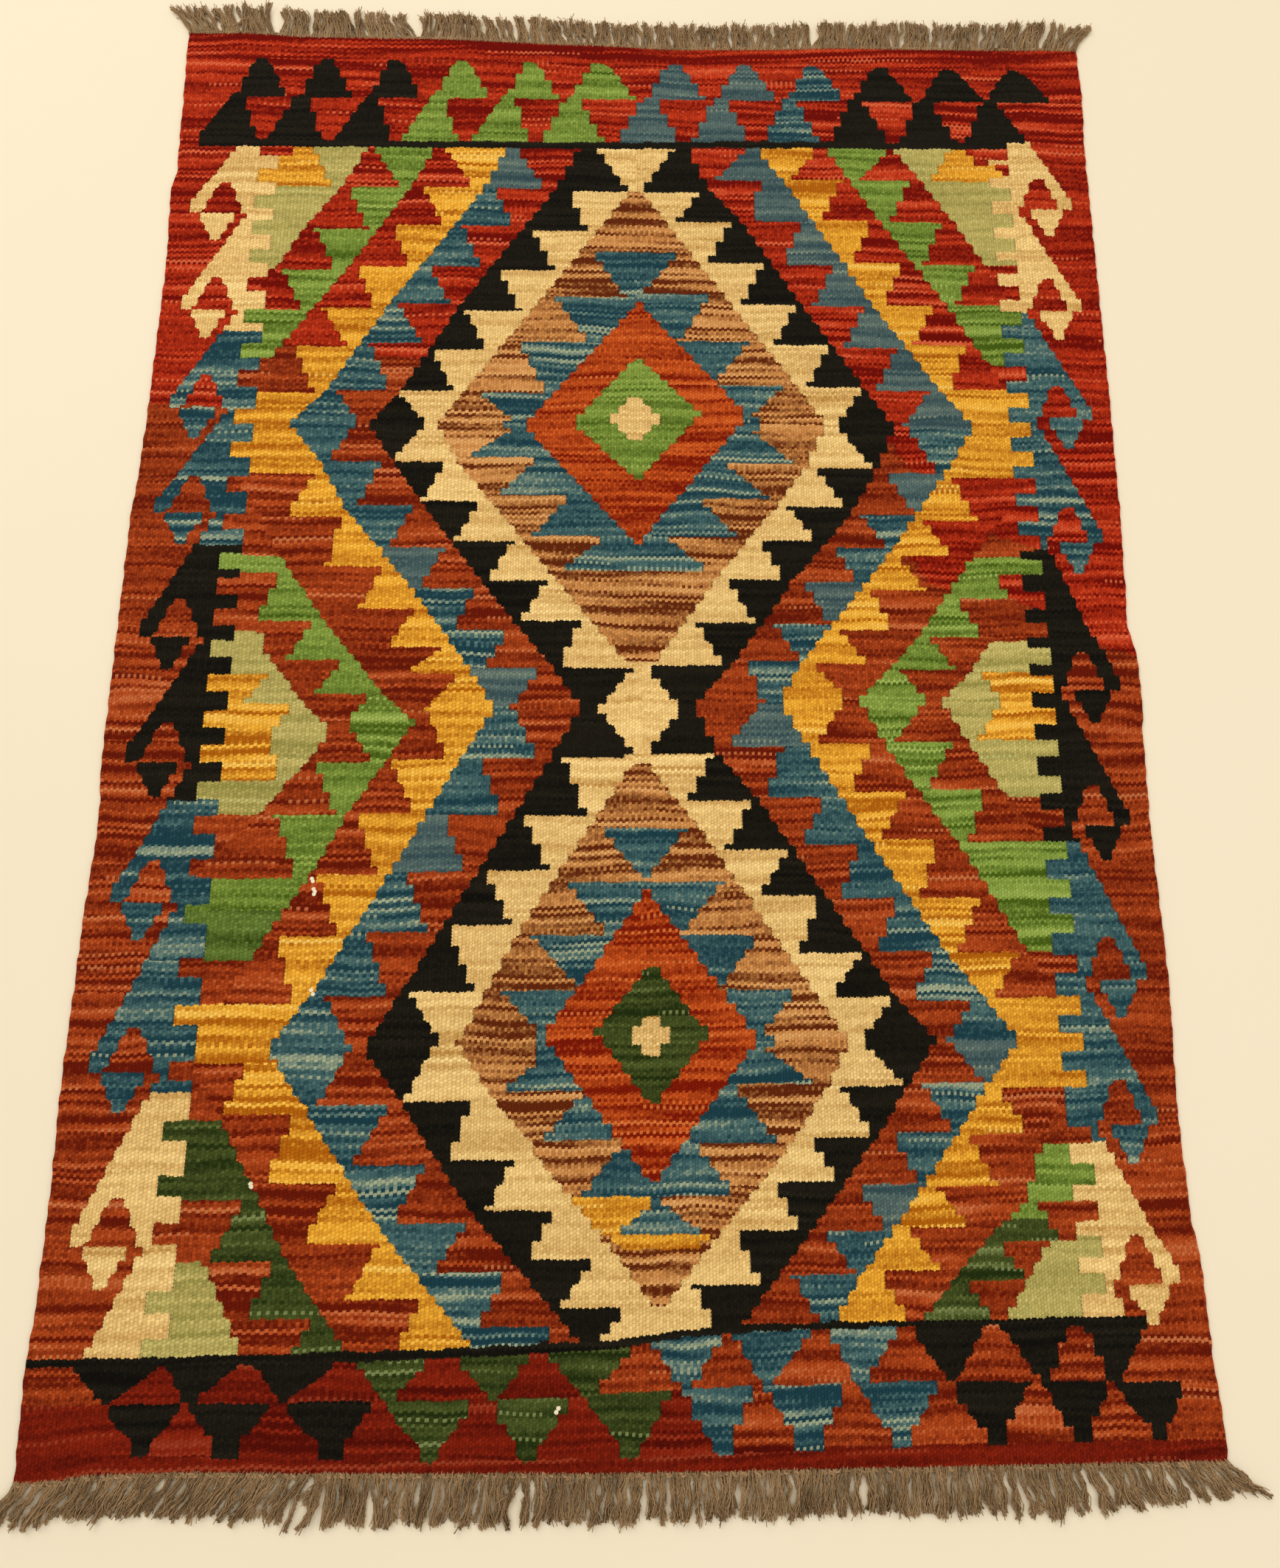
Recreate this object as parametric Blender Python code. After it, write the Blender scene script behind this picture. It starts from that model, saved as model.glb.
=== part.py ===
"""A hand-woven kilim lying flat: one tapestry cloth, and at each end a row of knots with its warp fringe.

Metres, +Z up. The near end of the rug is towards -Y, and the origin is on the floor at the middle of it all.
"""

import math
import random
from collections import namedtuple

import bmesh
import bpy
from mathutils import Vector

# The cloth
CLOTH_WIDTH = 0.820
CLOTH_LENGTH = 1.200
CLOTH_THICKNESS = 0.003
RIM_BEVEL = 0.0007
OUTLINE_STEP = 0.012  # between the outline's points

# How far each edge strays from the straight rectangle, as the weaver's tension varied.
# "along" runs from the far end on the sides, and from the left side on the ends.
Stray = namedtuple("Stray", "along offset")
LEFT_SIDE = [  # offset is towards +X
    Stray(0.000, 0.0000),
    Stray(0.100, 0.0025),
    Stray(0.150, 0.0039),
    Stray(0.168, 0.0008),
    Stray(0.250, 0.0039),
    Stray(0.380, 0.0033),
    Stray(0.455, 0.0017),
    Stray(0.480, -0.0006),
    Stray(0.690, -0.0005),
    Stray(0.745, 0.0025),
    Stray(0.830, -0.0003),
    Stray(0.943, -0.0017),
    Stray(1.011, -0.0003),
    Stray(1.094, -0.0008),
    Stray(1.125, -0.0030),
    Stray(1.200, -0.0017),
]
RIGHT_SIDE = [  # offset is towards +X
    Stray(0.000, -0.0006),
    Stray(0.050, 0.0003),
    Stray(0.120, -0.0025),
    Stray(0.340, -0.0033),
    Stray(0.467, -0.0047),
    Stray(0.545, -0.0070),
    Stray(0.578, -0.0088),
    Stray(0.605, -0.0035),
    Stray(0.640, -0.0030),
    Stray(0.679, -0.0056),
    Stray(0.749, -0.0070),
    Stray(0.860, -0.0055),
    Stray(0.971, -0.0090),
    Stray(1.039, -0.0075),
    Stray(1.067, -0.0035),
    Stray(1.122, -0.0025),
    Stray(1.186, 0.0008),
    Stray(1.200, 0.0000),
]
FAR_END = [  # offset is towards +Y
    Stray(0.000, 0.0020),
    Stray(0.050, 0.0030),
    Stray(0.110, 0.0000),
    Stray(0.220, 0.0000),
    Stray(0.360, -0.0040),
    Stray(0.450, -0.0072),
    Stray(0.510, -0.0058),
    Stray(0.610, -0.0022),
    Stray(0.700, -0.0018),
    Stray(0.820, 0.0000),
]
NEAR_END = [  # offset is towards +Y
    Stray(0.000, 0.0000),
    Stray(0.020, 0.0003),
    Stray(0.055, 0.0042),
    Stray(0.110, 0.0048),
    Stray(0.210, 0.0028),
    Stray(0.310, 0.0013),
    Stray(0.400, 0.0000),
    Stray(0.600, 0.0010),
    Stray(0.820, 0.0014),
]

# The fringe
KNOT_ROW_GAP = 0.0003  # from the cloth's end
KNOT_ROW_DEPTH = 0.0042
KNOT_ROW_HEIGHT = 0.0034
LOCKS_PER_END = 130
LOCK_ROOT_SHARE = 0.84  # of the pitch, taken by the lock where it leaves the knots
LOCK_TIP_SHARE = 0.42
LOCK_SECTIONS = 3
LOCK_TIP_HEIGHT = 0.0012
TIP_SWAY = 0.0004  # the most that one lock's tip strays sideways by itself
SHORTEST_LOCK = 0.88  # of the length that its place calls for

# How the fringe lies: its lean, in degrees towards +X, and its length, by place along the end.
Lay = namedtuple("Lay", "along lean length")
FAR_FRINGE = [
    Lay(0.000, -30, 0.033),
    Lay(0.060, -14, 0.036),
    Lay(0.110, -8, 0.032),
    Lay(0.200, -10, 0.030),
    Lay(0.320, -14, 0.030),
    Lay(0.430, -4, 0.029),
    Lay(0.550, 6, 0.030),
    Lay(0.700, 10, 0.032),
    Lay(0.780, 16, 0.034),
    Lay(0.820, 34, 0.035),
]
NEAR_FRINGE = [
    Lay(0.000, -30, 0.032),
    Lay(0.050, -34, 0.033),
    Lay(0.150, -30, 0.034),
    Lay(0.195, -24, 0.034),
    Lay(0.215, -8, 0.033),
    Lay(0.330, -6, 0.032),
    Lay(0.450, -4, 0.031),
    Lay(0.580, -2, 0.029),
    Lay(0.650, 4, 0.032),
    Lay(0.700, 14, 0.032),
    Lay(0.770, 26, 0.030),
    Lay(0.820, 48, 0.029),
]

# Where the fringe parts, and how wide the parting is at the locks' tips.
Parting = namedtuple("Parting", "along width")
FAR_PARTINGS = [
    Parting(0.029, 0.010),
    Parting(0.048, 0.005),
    Parting(0.079, 0.014),
    Parting(0.208, 0.014),
    Parting(0.296, 0.005),
    Parting(0.352, 0.004),
    Parting(0.412, 0.004),
    Parting(0.469, 0.004),
    Parting(0.515, 0.006),
    Parting(0.572, 0.006),
    Parting(0.608, 0.005),
    Parting(0.653, 0.007),
    Parting(0.728, 0.006),
    Parting(0.782, 0.006),
]
NEAR_PARTINGS = [
    Parting(0.040, 0.012),
    Parting(0.098, 0.005),
    Parting(0.197, 0.014),
    Parting(0.236, 0.006),
    Parting(0.335, 0.011),
    Parting(0.420, 0.006),
    Parting(0.500, 0.006),
    Parting(0.569, 0.010),
    Parting(0.652, 0.006),
    Parting(0.712, 0.006),
    Parting(0.775, 0.008),
]

CLOTH_RED = (0.36, 0.045, 0.022, 1.0)
WARP_GREY = (0.165, 0.115, 0.072, 1.0)
WOOL_ROUGHNESS = 0.95


def clear_scene():
    for obj in list(bpy.data.objects):
        bpy.data.objects.remove(obj)


def read_table(table, along, column):
    """A column of a table at this place, eased from row to row."""
    for before, after in zip(table, table[1:]):
        if along <= after.along:
            share = max(0.0, along - before.along) / (after.along - before.along)
            eased = share * share * (3 - 2 * share)
            low, high = getattr(before, column), getattr(after, column)
            return low + (high - low) * eased
    return getattr(table[-1], column)


def end_point(end, along):
    """The point of the cloth's end, "far" or "near", this far from its left side, on the floor."""
    table, line = (FAR_END, CLOTH_LENGTH / 2) if end == "far" else (NEAR_END, -CLOTH_LENGTH / 2)
    from_far_end = CLOTH_LENGTH / 2 - line
    left = -CLOTH_WIDTH / 2 + read_table(LEFT_SIDE, from_far_end, "offset")
    right = CLOTH_WIDTH / 2 + read_table(RIGHT_SIDE, from_far_end, "offset")
    x = left + (right - left) * along / CLOTH_WIDTH
    return Vector((x, line + read_table(table, along, "offset"), 0))


def side_point(side, from_far_end):
    """The point of the cloth's side, "left" or "right", this far from the far end, on the floor."""
    table, line = (LEFT_SIDE, -CLOTH_WIDTH / 2) if side == "left" else (RIGHT_SIDE, CLOTH_WIDTH / 2)
    across = 0.0 if side == "left" else CLOTH_WIDTH
    far, near = end_point("far", across).y, end_point("near", across).y
    y = far + (near - far) * from_far_end / CLOTH_LENGTH
    return Vector((line + read_table(table, from_far_end, "offset"), y, 0))


def cloth_outline():
    """The cloth's outline, anticlockwise from the near left corner."""
    across = round(CLOTH_WIDTH / OUTLINE_STEP)
    down = round(CLOTH_LENGTH / OUTLINE_STEP)
    near = [end_point("near", CLOTH_WIDTH * i / across) for i in range(across)]
    right = [side_point("right", CLOTH_LENGTH * (1 - i / down)) for i in range(down)]
    far = [end_point("far", CLOTH_WIDTH * (1 - i / across)) for i in range(across)]
    left = [side_point("left", CLOTH_LENGTH * i / down) for i in range(down)]
    return near + right + far + left


def wool(name, colour):
    material = bpy.data.materials.new(name)
    material.use_nodes = True
    shader = material.node_tree.nodes["Principled BSDF"]
    shader.inputs["Base Color"].default_value = colour
    shader.inputs["Roughness"].default_value = WOOL_ROUGHNESS
    shader.inputs["Metallic"].default_value = 0.0
    return material


def add_object(name, data, collection, material):
    data.materials.append(material)
    obj = bpy.data.objects.new(name, data)
    collection.objects.link(obj)
    return obj


def make_cloth(collection, material):
    """The flat cloth: its outline filled on both faces, with a small bevel round the rim."""
    outline = cloth_outline()
    curve = bpy.data.curves.new("kilim_cloth", "CURVE")
    curve.dimensions = "2D"
    curve.fill_mode = "BOTH"
    curve.extrude = CLOTH_THICKNESS / 2 - RIM_BEVEL
    curve.bevel_depth = RIM_BEVEL
    curve.bevel_resolution = 0
    curve.offset = -RIM_BEVEL
    spline = curve.splines.new("POLY")
    spline.points.add(len(outline) - 1)
    for spline_point, place in zip(spline.points, outline):
        spline_point.co = (place.x, place.y, 0, 1)
    spline.use_cyclic_u = True
    cloth = add_object("kilim_cloth", curve, collection, material)
    cloth.location.z = CLOTH_THICKNESS / 2
    return cloth


def tip_shift(along, partings):
    """How far a tip is pushed sideways, so that the fringe parts into clumps."""
    bounds = [Parting(0.0, 0.0), *partings, Parting(CLOTH_WIDTH, 0.0)]
    for left, right in zip(bounds, bounds[1:]):
        if along <= right.along:
            share = (along - left.along) / (right.along - left.along)
            return left.width / 2 * (1 - share) - right.width / 2 * share
    return 0.0


def lock_section(root, reach, share, pitch):
    """(centre on the floor, width, height) of a lock's cross-section, this share of the way to its tip."""
    centre = root + Vector((reach.x * share ** 1.3, reach.y * share, 0))
    width = pitch * (LOCK_ROOT_SHARE + (LOCK_TIP_SHARE - LOCK_ROOT_SHARE) * share)
    height = KNOT_ROW_HEIGHT + (LOCK_TIP_HEIGHT - KNOT_ROW_HEIGHT) * math.sqrt(share)
    return centre, width, height


def place_section(face, centre, width, height):
    """Moves a lock's four end points: each keeps its side and its level."""
    middle = face.calc_center_median()
    for vertex in face.verts:
        side = 1 if vertex.co.x > middle.x else -1
        level = height if vertex.co.z > middle.z else 0.0
        vertex.co = centre + Vector((side * width / 2, 0, level))


def make_knot_row(bm, end, outward, pitch):
    """The strip of knots along the cloth's end. Returns the outer face that each lock leaves from."""
    columns = 2 * LOCKS_PER_END
    bmesh.ops.create_grid(bm, x_segments=columns - 1, y_segments=1, size=0.5)
    edge_share = (1 - LOCK_ROOT_SHARE) / 2
    for vertex in bm.verts:
        column = round((vertex.co.x + 0.5) * (columns - 1))
        place = column // 2 + (edge_share if column % 2 == 0 else 1 - edge_share)
        out = KNOT_ROW_GAP + (KNOT_ROW_DEPTH if vertex.co.y > 0 else 0.0)
        vertex.co = end_point(end, place * pitch) + Vector((0, outward * out, 0))
    raised = bmesh.ops.extrude_face_region(bm, geom=bm.faces[:])["geom"]
    for vertex in (item for item in raised if isinstance(item, bmesh.types.BMVert)):
        vertex.co.z = KNOT_ROW_HEIGHT
    bmesh.ops.recalc_face_normals(bm, faces=bm.faces[:])
    outer = [face for face in bm.faces if face.normal.y * outward > 0.9]
    outer.sort(key=lambda face: face.calc_center_median().x)
    return outer[::2]


def make_fringe(name, end, lays, partings, seed, collection, material):
    """A knot row and its locks as one solid: every lock is drawn out of the row's outer side."""
    outward = 1 if end == "far" else -1
    pitch = CLOTH_WIDTH / LOCKS_PER_END
    stray = random.Random(seed)
    bm = bmesh.new()
    roots = make_knot_row(bm, end, outward, pitch)
    for index, face in enumerate(roots):
        along = (index + 0.5) * pitch
        root = face.calc_center_median()
        root.z = 0.0
        length = read_table(lays, along, "length") * stray.uniform(SHORTEST_LOCK, 1.0)
        lean = math.radians(read_table(lays, along, "lean"))
        sideways = length * math.sin(lean) + tip_shift(along, partings)
        sideways += stray.uniform(-TIP_SWAY, TIP_SWAY)
        reach = Vector((sideways, outward * length * math.cos(lean), 0))
        for section in range(1, LOCK_SECTIONS + 1):
            drawn = bmesh.ops.extrude_discrete_faces(bm, faces=[face])["faces"]
            face = drawn[0]
            place_section(face, *lock_section(root, reach, section / LOCK_SECTIONS, pitch))
    bmesh.ops.recalc_face_normals(bm, faces=bm.faces[:])
    mesh = bpy.data.meshes.new(name)
    bm.to_mesh(mesh)
    bm.free()
    return add_object(name, mesh, collection, material)


def stand_on_origin(objects):
    """Moves the rug so that the origin is on the floor at the middle of its box."""
    bpy.context.view_layer.update()
    graph = bpy.context.evaluated_depsgraph_get()
    corners = [
        obj.matrix_world @ Vector(corner) for obj in objects for corner in obj.evaluated_get(graph).bound_box
    ]
    middle = [(min(c[axis] for c in corners) + max(c[axis] for c in corners)) / 2 for axis in (0, 1)]
    for obj in objects:
        obj.location.x -= middle[0]
        obj.location.y -= middle[1]


def main():
    clear_scene()
    collection = bpy.data.collections.new("kilim_rug")
    bpy.context.scene.collection.children.link(collection)
    cloth_wool = wool("cloth_wool", CLOTH_RED)
    warp_wool = wool("warp_wool", WARP_GREY)
    stand_on_origin(
        [
            make_cloth(collection, cloth_wool),
            make_fringe("fringe_far", "far", FAR_FRINGE, FAR_PARTINGS, 3, collection, warp_wool),
            make_fringe("fringe_near", "near", NEAR_FRINGE, NEAR_PARTINGS, 5, collection, warp_wool),
        ]
    )


main()
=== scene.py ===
"""The kilim on a pale floor: its slit-tapestry cloth, woven from a chart, and its knotted warp fringes."""

import functools
import math
import random
from collections import namedtuple

import bpy
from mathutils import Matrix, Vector


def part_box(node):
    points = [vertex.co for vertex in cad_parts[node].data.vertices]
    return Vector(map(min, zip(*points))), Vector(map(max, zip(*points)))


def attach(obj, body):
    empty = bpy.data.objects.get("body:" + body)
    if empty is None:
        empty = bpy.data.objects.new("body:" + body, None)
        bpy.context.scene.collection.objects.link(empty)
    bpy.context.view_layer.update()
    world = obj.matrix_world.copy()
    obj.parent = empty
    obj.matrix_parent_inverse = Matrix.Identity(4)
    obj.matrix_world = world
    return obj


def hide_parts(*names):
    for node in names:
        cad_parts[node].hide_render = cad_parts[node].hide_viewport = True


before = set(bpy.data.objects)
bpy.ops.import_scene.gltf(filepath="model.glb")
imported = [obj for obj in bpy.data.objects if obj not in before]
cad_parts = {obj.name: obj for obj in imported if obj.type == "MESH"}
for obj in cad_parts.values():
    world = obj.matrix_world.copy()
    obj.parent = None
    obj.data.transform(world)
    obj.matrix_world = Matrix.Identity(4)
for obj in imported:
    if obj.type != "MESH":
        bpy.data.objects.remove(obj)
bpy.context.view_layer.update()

# ---------------------------------------------------------------- sizes, in millimetres
CLOTH_WIDTH = 820.0
CLOTH_LENGTH = 1200.0
CLOTH_THICKNESS = 3.0
RIM_TOP = 2.3  # heights of the rim's rounded corner
RIM_BOTTOM = 0.6
SELVEDGE = 0.9  # width of the rounded outermost strip
RIPPLE = 0.35  # how far the cloth's face dips between its swells
EDGE_UNEVEN = 0.2  # how far a step's edge strays inside the cloth
TURN_UNEVEN = 0.6  # how far a turn of colour strays up or down
ROW_HEIGHT = 4.0
WARP_PITCH = 2.5
SLANT = 0.5  # how much of a diagonal is woven within each step, not as a jump between steps
EDGE_REACH = 90.0  # how far into the cloth an uneven edge still shows

# The middle of the cloth's box as the chart gives it, before the rug is stood on its origin.
CHART_MIDDLE = Vector((-1.1, 1.5))

Stray = namedtuple("Stray", "along offset")


def table(row, *pairs):
    return [row(*pair) for pair in pairs]


# How far each edge strays from the straight rectangle: the sides towards +X, the ends towards +Y.
LEFT_SIDE = table(
    Stray, (0, 0), (100, 2.5), (150, 3.9), (168, 0.8), (250, 3.9), (380, 3.3), (455, 1.7), (480, -0.6),
    (690, -0.5), (745, 2.5), (830, -0.3), (943, -1.7), (1011, -0.3), (1094, -0.8), (1125, -3.0),
    (1200, -1.7),
)
RIGHT_SIDE = table(
    Stray, (0, -0.6), (50, 0.3), (120, -2.5), (340, -3.3), (467, -4.7), (545, -7.0), (578, -8.8),
    (605, -3.5), (640, -3.0), (679, -5.6), (749, -7.0), (860, -5.5), (971, -9.0), (1039, -7.5),
    (1067, -3.5), (1122, -2.5), (1186, 0.8), (1200, 0),
)
FAR_END = table(
    Stray, (0, 2.0), (50, 3.0), (110, 0), (220, 0), (360, -4.0), (450, -7.2), (510, -5.8), (610, -2.2),
    (700, -1.8), (820, 0),
)
NEAR_END = table(
    Stray, (0, 0), (20, 0.3), (55, 4.2), (110, 4.8), (210, 2.8), (310, 1.3), (400, 0), (600, 1.0),
    (820, 1.4),
)

Lay = namedtuple("Lay", "along lean length")
FAR_LAYS = table(
    Lay, (0, -30, 33), (60, -14, 36), (110, -8, 32), (200, -10, 30), (320, -14, 30), (430, -4, 29),
    (550, 6, 30), (700, 10, 32), (780, 16, 34), (820, 34, 35),
)
NEAR_LAYS = table(
    Lay, (0, -30, 32), (50, -34, 33), (150, -30, 34), (195, -24, 34), (215, -8, 33), (330, -6, 32),
    (450, -4, 31), (580, -2, 29), (650, 4, 32), (700, 14, 32), (770, 26, 30), (820, 48, 29),
)
Parting = namedtuple("Parting", "along width")
FAR_PARTINGS = table(
    Parting, (29, 10), (48, 5), (79, 14), (208, 14), (296, 5), (352, 4), (412, 4), (469, 4), (515, 6),
    (572, 6), (608, 5), (653, 7), (728, 6), (782, 6),
)
NEAR_PARTINGS = table(
    Parting, (40, 12), (98, 5), (197, 14), (236, 6), (335, 11), (420, 6), (500, 6), (569, 10), (652, 6),
    (712, 6), (775, 8),
)

# The warp ends lie in locks: how far apart these are, how tight at the root and the tip, and how far they
# lean either way.
Locks = namedtuple("Locks", "pitch root tip lean curl parting pale")
FAR_LOCKS = Locks(3.6, 1.0, 0.84, 8.0, 0.0016, 0.9, 0.32)
NEAR_LOCKS = Locks(4.4, 1.0, 0.96, 4.5, 0.0020, 0.55, 0.18)
LoneEnd = namedtuple("LoneEnd", "along lean length")
FAR_LONE_ENDS = table(LoneEnd, (31, 48, 25), (36, 40, 24), (41, -44, 26), (45, -30, 27), (1, -34, 36))
NEAR_LONE_ENDS = table(LoneEnd, (206, -52, 24), (209, -44, 25), (819, 52, 36), (336, -40, 22), (2, -48, 38))

# Each fringe: how far down the cloth it is, which way it points along Y, how its ends lie, its random seed.
Fringe = namedtuple("Fringe", "node down outward lays partings locks lone_ends seed")
FRINGES = table(
    Fringe, ("fringe_far", 0.0, 1, FAR_LAYS, FAR_PARTINGS, FAR_LOCKS, FAR_LONE_ENDS, 3),
    ("fringe_near", CLOTH_LENGTH, -1, NEAR_LAYS, NEAR_PARTINGS, NEAR_LOCKS, NEAR_LONE_ENDS, 5),
)

# ---------------------------------------------------------------- yarns
# Level and contrast say how much of a yarn is dark and light, pips how often a single pale pass shows.
Yarn = namedtuple("Yarn", "name dark light streak level contrast pips")
YARNS = [
    Yarn("crimson", (110, 9, 2), (192, 54, 22), (224, 106, 66), 0.47, 4.6, 0.010),
    Yarn("brick", (102, 22, 4), (178, 72, 27), (206, 118, 70), 0.50, 4.2, 0.008),
    Yarn("oxblood", (82, 11, 3), (136, 34, 12), (154, 60, 34), 0.50, 3.0, 0.012),
    Yarn("black", (14, 12, 8), (34, 30, 21), (52, 45, 32), 0.50, 2.0, 0.0),
    Yarn("cream", (188, 136, 64), (249, 212, 138), (254, 230, 168), 0.65, 1.8, 0.0),
    Yarn("gold", (176, 96, 10), (243, 176, 54), (250, 204, 100), 0.62, 3.6, 0.01),
    Yarn("leaf", (68, 92, 18), (136, 160, 68), (166, 186, 94), 0.62, 3.0, 0.01),
    Yarn("moss", (50, 70, 14), (104, 128, 54), (150, 164, 94), 0.58, 3.0, 0.01),
    Yarn("fir", (32, 45, 12), (77, 88, 38), (132, 144, 88), 0.50, 3.0, 0.02),
    Yarn("sage", (148, 140, 70), (200, 184, 108), (194, 192, 122), 0.55, 2.8, 0.01),
    Yarn("teal", (26, 61, 72), (74, 108, 108), (168, 176, 142), 0.58, 5.6, 0.008),
    Yarn("slate", (52, 76, 82), (94, 114, 109), (140, 150, 126), 0.50, 3.0, 0.008),
    Yarn("walnut", (98, 38, 10), (202, 136, 73), (224, 166, 102), 0.57, 6.4, 0.0),
    Yarn("ember", (124, 22, 3), (202, 85, 29), (222, 120, 58), 0.53, 4.8, 0.01),
]
YARN = {yarn.name: number for number, yarn in enumerate(YARNS)}

# ---------------------------------------------------------------- the weaver's chart
# Millimetres from the far left corner of the cloth, y down towards the near end.
# A step of the pattern is two or three warps: (place across, width).
STEP_WIDTHS = [
    (0, 4.4), (40, 4.9), (70, 5.8), (110, 6.0), (160, 6.1), (215, 5.5), (260, 5.9), (330, 6.9),
    (410, 7.1), (490, 7.0), (560, 6.7), (650, 6.6), (700, 6.7), (745, 6.2), (775, 5.0), (800, 4.5),
    (820, 4.2),
]

AXIS = [(0, 411), (640, 411), (700, 413), (780, 416), (850, 421), (909, 425), (1200, 425)]

# The field's zigzag lines, (y, x), from the lozenges outwards. A chain of triangles lies outside each.
LEFT_LINES = [
    [(122, 434), (167, 403), (399, 244), (437, 264), (615, 405), (652, 433), (697, 409), (824, 327),
     (913, 281), (930, 294), (950, 308), (978, 332), (1000, 348), (1020, 365), (1060, 400), (1093, 425),
     (1128, 440)],
    [(122, 357), (163, 338), (284, 258), (368, 212), (400, 187), (437, 210), (474, 236), (549, 290),
     (617, 345), (650, 368), (692, 345), (782, 292), (872, 240), (915, 213), (953, 243), (995, 270),
     (1032, 298), (1105, 364), (1128, 384)],
    [(122, 293), (163, 275), (203, 250), (283, 198), (368, 150), (400, 121), (437, 150), (478, 172),
     (549, 230), (619, 280), (652, 300), (693, 275), (783, 226), (877, 172), (914, 144), (960, 175),
     (1040, 232), (1108, 291), (1128, 308)],
    [(122, 230), (163, 210), (245, 162), (328, 107), (371, 78), (447, 78), (530, 129), (578, 162),
     (611, 189), (640, 212), (663, 238), (693, 219), (736, 191), (785, 166), (832, 136), (881, 107),
     (914, 84), (965, 115), (1010, 140), (1060, 168), (1122, 215), (1130, 221)],
    [(122, 170), (163, 150), (207, 120), (250, 98), (290, 72), (330, 45), (586, 70), (587, 112),
     (607, 119), (628, 136), (647, 150), (670, 174), (696, 157), (738, 123), (788, 75), (830, 45),
     (1061, 70), (1062, 112), (1122, 143), (1130, 147)],
    [(122, 106), (134, 90), (146, 72), (160, 40), (1200, 40)],
]
RIGHT_LINES = [
    [(118, 383), (167, 416), (396, 571), (438, 552), (474, 527), (540, 476), (615, 425), (652, 392),
     (697, 420), (749, 461), (832, 516), (911, 570), (944, 553), (980, 529), (1044, 474), (1098, 430),
     (1128, 404)],
    [(118, 455), (161, 475), (195, 503), (280, 554), (361, 605), (398, 629), (440, 612), (481, 588),
     (542, 539), (612, 490), (648, 458), (689, 476), (727, 507), (802, 557), (879, 607), (911, 635),
     (942, 614), (977, 590), (1045, 538), (1106, 488), (1128, 470)],
    [(118, 518), (151, 541), (194, 567), (281, 617), (364, 671), (398, 697), (443, 669), (512, 622),
     (580, 569), (612, 544), (645, 525), (683, 547), (762, 594), (845, 646), (911, 697), (943, 672),
     (1012, 622), (1072, 575), (1106, 551), (1128, 534)],
    [(118, 582), (149, 601), (192, 626), (279, 681), (362, 728), (398, 745), (446, 745), (519, 688),
     (556, 662), (590, 639), (617, 614), (643, 589), (679, 607), (720, 632), (758, 659), (804, 686),
     (845, 708), (879, 728), (911, 748), (985, 708), (1025, 694), (1053, 662), (1079, 637),
     (1107, 613)],
    [(118, 644), (149, 665), (193, 693), (237, 718), (290, 748), (593, 752), (594, 697), (617, 682),
     (645, 655), (679, 674), (717, 697), (760, 728), (800, 752), (1052, 752), (1053, 708), (1107, 672)],
    [(118, 706), (130, 728), (148, 752), (1200, 780)],
]
# Each chain's first widest line, its waist and its last widest line.
FIELD_TURNS = {
    "left": ((399, 399, 400, 399, 399, 399), (652, 650, 652, 663, 672, 672), (914, 915, 914, 914, 914, 914)),
    "right": ((397, 397, 398, 397, 397, 397), (652, 647, 643, 643, 645, 645), (911, 911, 911, 911, 911, 911)),
}

# The heights at which each chain's triangles begin.
LEFT_COURSES = [
    [122, 163, 207, 248, 289, 328, 368, 399, 435, 471, 507, 542, 577, 617, 652, 692, 739, 782, 824, 874,
     914, 953, 994, 1029, 1062, 1094, 1130],
    [122, 163, 203, 245, 283, 322, 368, 399, 435, 475, 513, 549, 585, 617, 650, 693, 738, 783, 829, 877,
     915, 955, 997, 1037, 1070, 1106, 1140],
    [122, 163, 203, 246, 288, 326, 371, 400, 447, 486, 530, 567, 600, 622, 652, 694, 737, 785, 832, 882,
     914, 961, 1009, 1050, 1087, 1125],
    [122, 164, 208, 250, 290, 338, 372, 447, 495, 536, 578, 611, 640, 663, 696, 738, 788, 850, 914, 965,
     1020, 1061, 1099, 1135],
    [122, 164, 587, 623, 648, 672, 711, 1061, 1135],
    [122, 164, 1200],
]
RIGHT_COURSES = [
    [118, 161, 196, 238, 280, 320, 361, 397, 438, 474, 505, 540, 578, 615, 652, 689, 727, 766, 802, 846,
     879, 911, 944, 980, 1011, 1044, 1080, 1115],
    [118, 151, 194, 239, 281, 322, 364, 397, 442, 481, 511, 542, 579, 611, 647, 683, 724, 762, 804, 845,
     882, 911, 942, 977, 1013, 1045, 1074, 1106, 1130],
    [118, 149, 192, 236, 279, 318, 362, 398, 446, 486, 518, 549, 584, 613, 643, 680, 720, 758, 804, 846,
     880, 911, 946, 979, 1015, 1043, 1072, 1105, 1130],
    [118, 149, 193, 237, 278, 338, 364, 446, 490, 519, 556, 590, 618, 643, 679, 718, 760, 845, 911, 986,
     1026, 1053, 1079, 1107, 1130],
    [118, 149, 594, 620, 645, 677, 1053, 1130],
    [118, 149, 1200],
]
# (place across, how far down the crimson reaches there)
RED_CHANGES = [(0, 340), (580, 380), (650, 500), (744, 530), (746, 620), (820, 640)]

CHAIN_YARNS = [("cream", "black"), ("red", "teal"), ("gold", "red"), ("leaf", "red"), ("sage", "gold"),
               ("red", "red")]
# How far a chain's inner triangles reach from its line, at their base and at their tip.
Reach = namedtuple("Reach", "base tip")
REACHES = table(Reach, (57, 9), (54, 9), (54, 9), (54, 9), (48, 9), (48, 9))
NEAR_LEFT_REACHES = table(Reach, (66, 18), (62, 9), (61, 9), (55, 9), (54, 9), (54, 9))

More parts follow.
